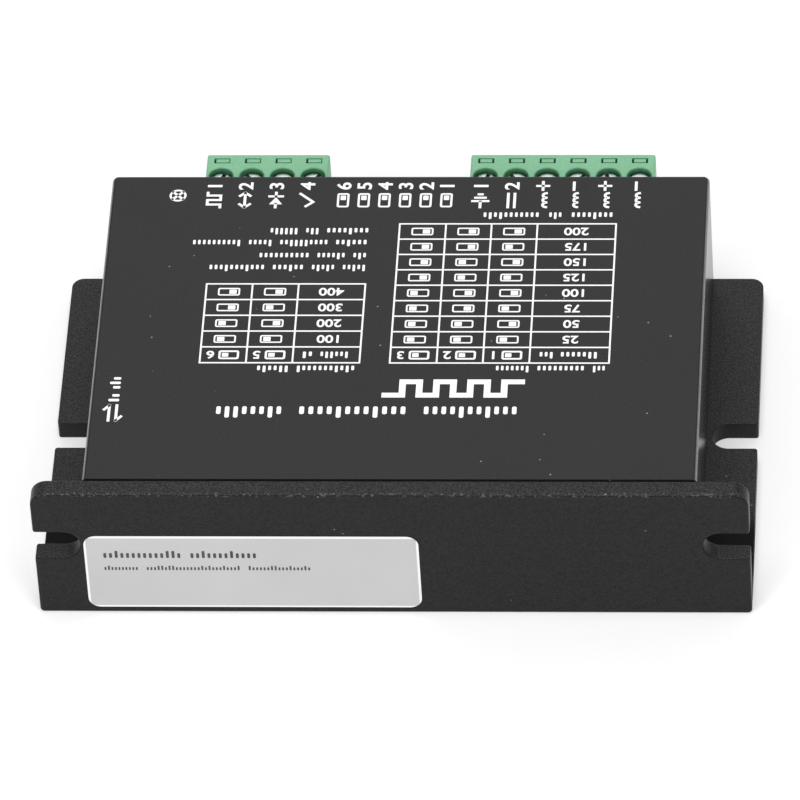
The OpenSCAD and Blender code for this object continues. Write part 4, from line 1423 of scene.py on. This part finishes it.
def finish_kept_nodes():
    """Gives each CAD node that stays its procedural material."""
    for node, slot in KEPT_NODES.items():
        obj = frame["nodes"][node]
        obj.data.materials.clear()
        obj.data.materials.append(MATERIALS[slot])


# ---- Camera, floor and light ----


def make_camera():
    """A long lens that looks down at the wall's side, from a little to the right of it."""
    aim = Vector((-0.385, BASE_LOW.y + 26.91, 9.44)) * MM
    azimuth = math.radians(5.65)
    elevation = math.radians(44.42)
    distance = 1247.8 * MM
    level = math.cos(elevation)
    away = Vector((math.sin(azimuth) * level, -math.cos(azimuth) * level, math.sin(elevation)))
    data = bpy.data.cameras.new("camera")
    data.lens = 461.2
    data.sensor_width = 36
    data.clip_start = 0.05
    camera = add_object("camera", data)
    turn = away.to_track_quat("Z", "Y").to_matrix().to_4x4()
    roll = Matrix.Rotation(math.radians(-3.9), 4, "Z")
    camera.matrix_world = Matrix.Translation(aim + away * distance) @ turn @ roll
    bpy.context.scene.camera = camera


def make_floor():
    """A wide pale floor under the base."""
    bm = bmesh.new()
    bmesh.ops.create_grid(bm, x_segments=2, y_segments=2, size=6)
    floor = from_bmesh("floor", bm)
    floor.location.z = -0.00002
    surface = grained("pale_floor", (0.67, 0.67, 0.67), (0.7, 0.7, 0.7), 40, (0.7, 0.8), 0.0, patch=300)
    surface.shader.inputs["Emission Color"].default_value = (1, 1, 1, 1)
    surface.set(Emission_Strength=0.26)
    floor.data.materials.append(surface.material)


def area_light(name, at, size, watts, aim=(0, 0, 8)):
    """A square soft box, placed in millimetres and turned to the object."""
    data = bpy.data.lights.new(name, "AREA")
    data.size = size * MM
    data.energy = watts
    lamp = add_object(name, data)
    away = (Vector(at) - Vector(aim)) * MM
    turn = away.to_track_quat("Z", "Y").to_matrix().to_4x4()
    lamp.matrix_world = Matrix.Translation(Vector(at) * MM) @ turn


def make_light_and_world():
    scene = bpy.context.scene
    world = bpy.data.worlds.new("studio")
    world.use_nodes = True
    sky = world.node_tree.nodes["Background"]
    sky.inputs["Color"].default_value = (1, 1, 1, 1)
    sky.inputs["Strength"].default_value = 0.5
    scene.world = world
    scene.view_settings.view_transform = "Standard"
    area_light("overhead", (0, -200, 1000), 500, 4.6)
    area_light("left_box", (-600, -800, 800), 500, 4.0)
    area_light("right_box", (600, -800, 800), 500, 3.4)
    area_light("rear_box", (0, 800, 800), 800, 2.4)


make_base()
make_cover()
make_sticker()
make_print()
for terminal in POLES:
    make_header(terminal)
    make_header_pins(terminal)
    make_plug(terminal)
make_screws_and_clamps()
make_switch_body()
make_sliders()
make_lens()
make_jack()
make_jack_wires()
make_cover_screws()
make_board_screws()
finish_kept_nodes()
make_camera()
make_floor()
make_light_and_world()
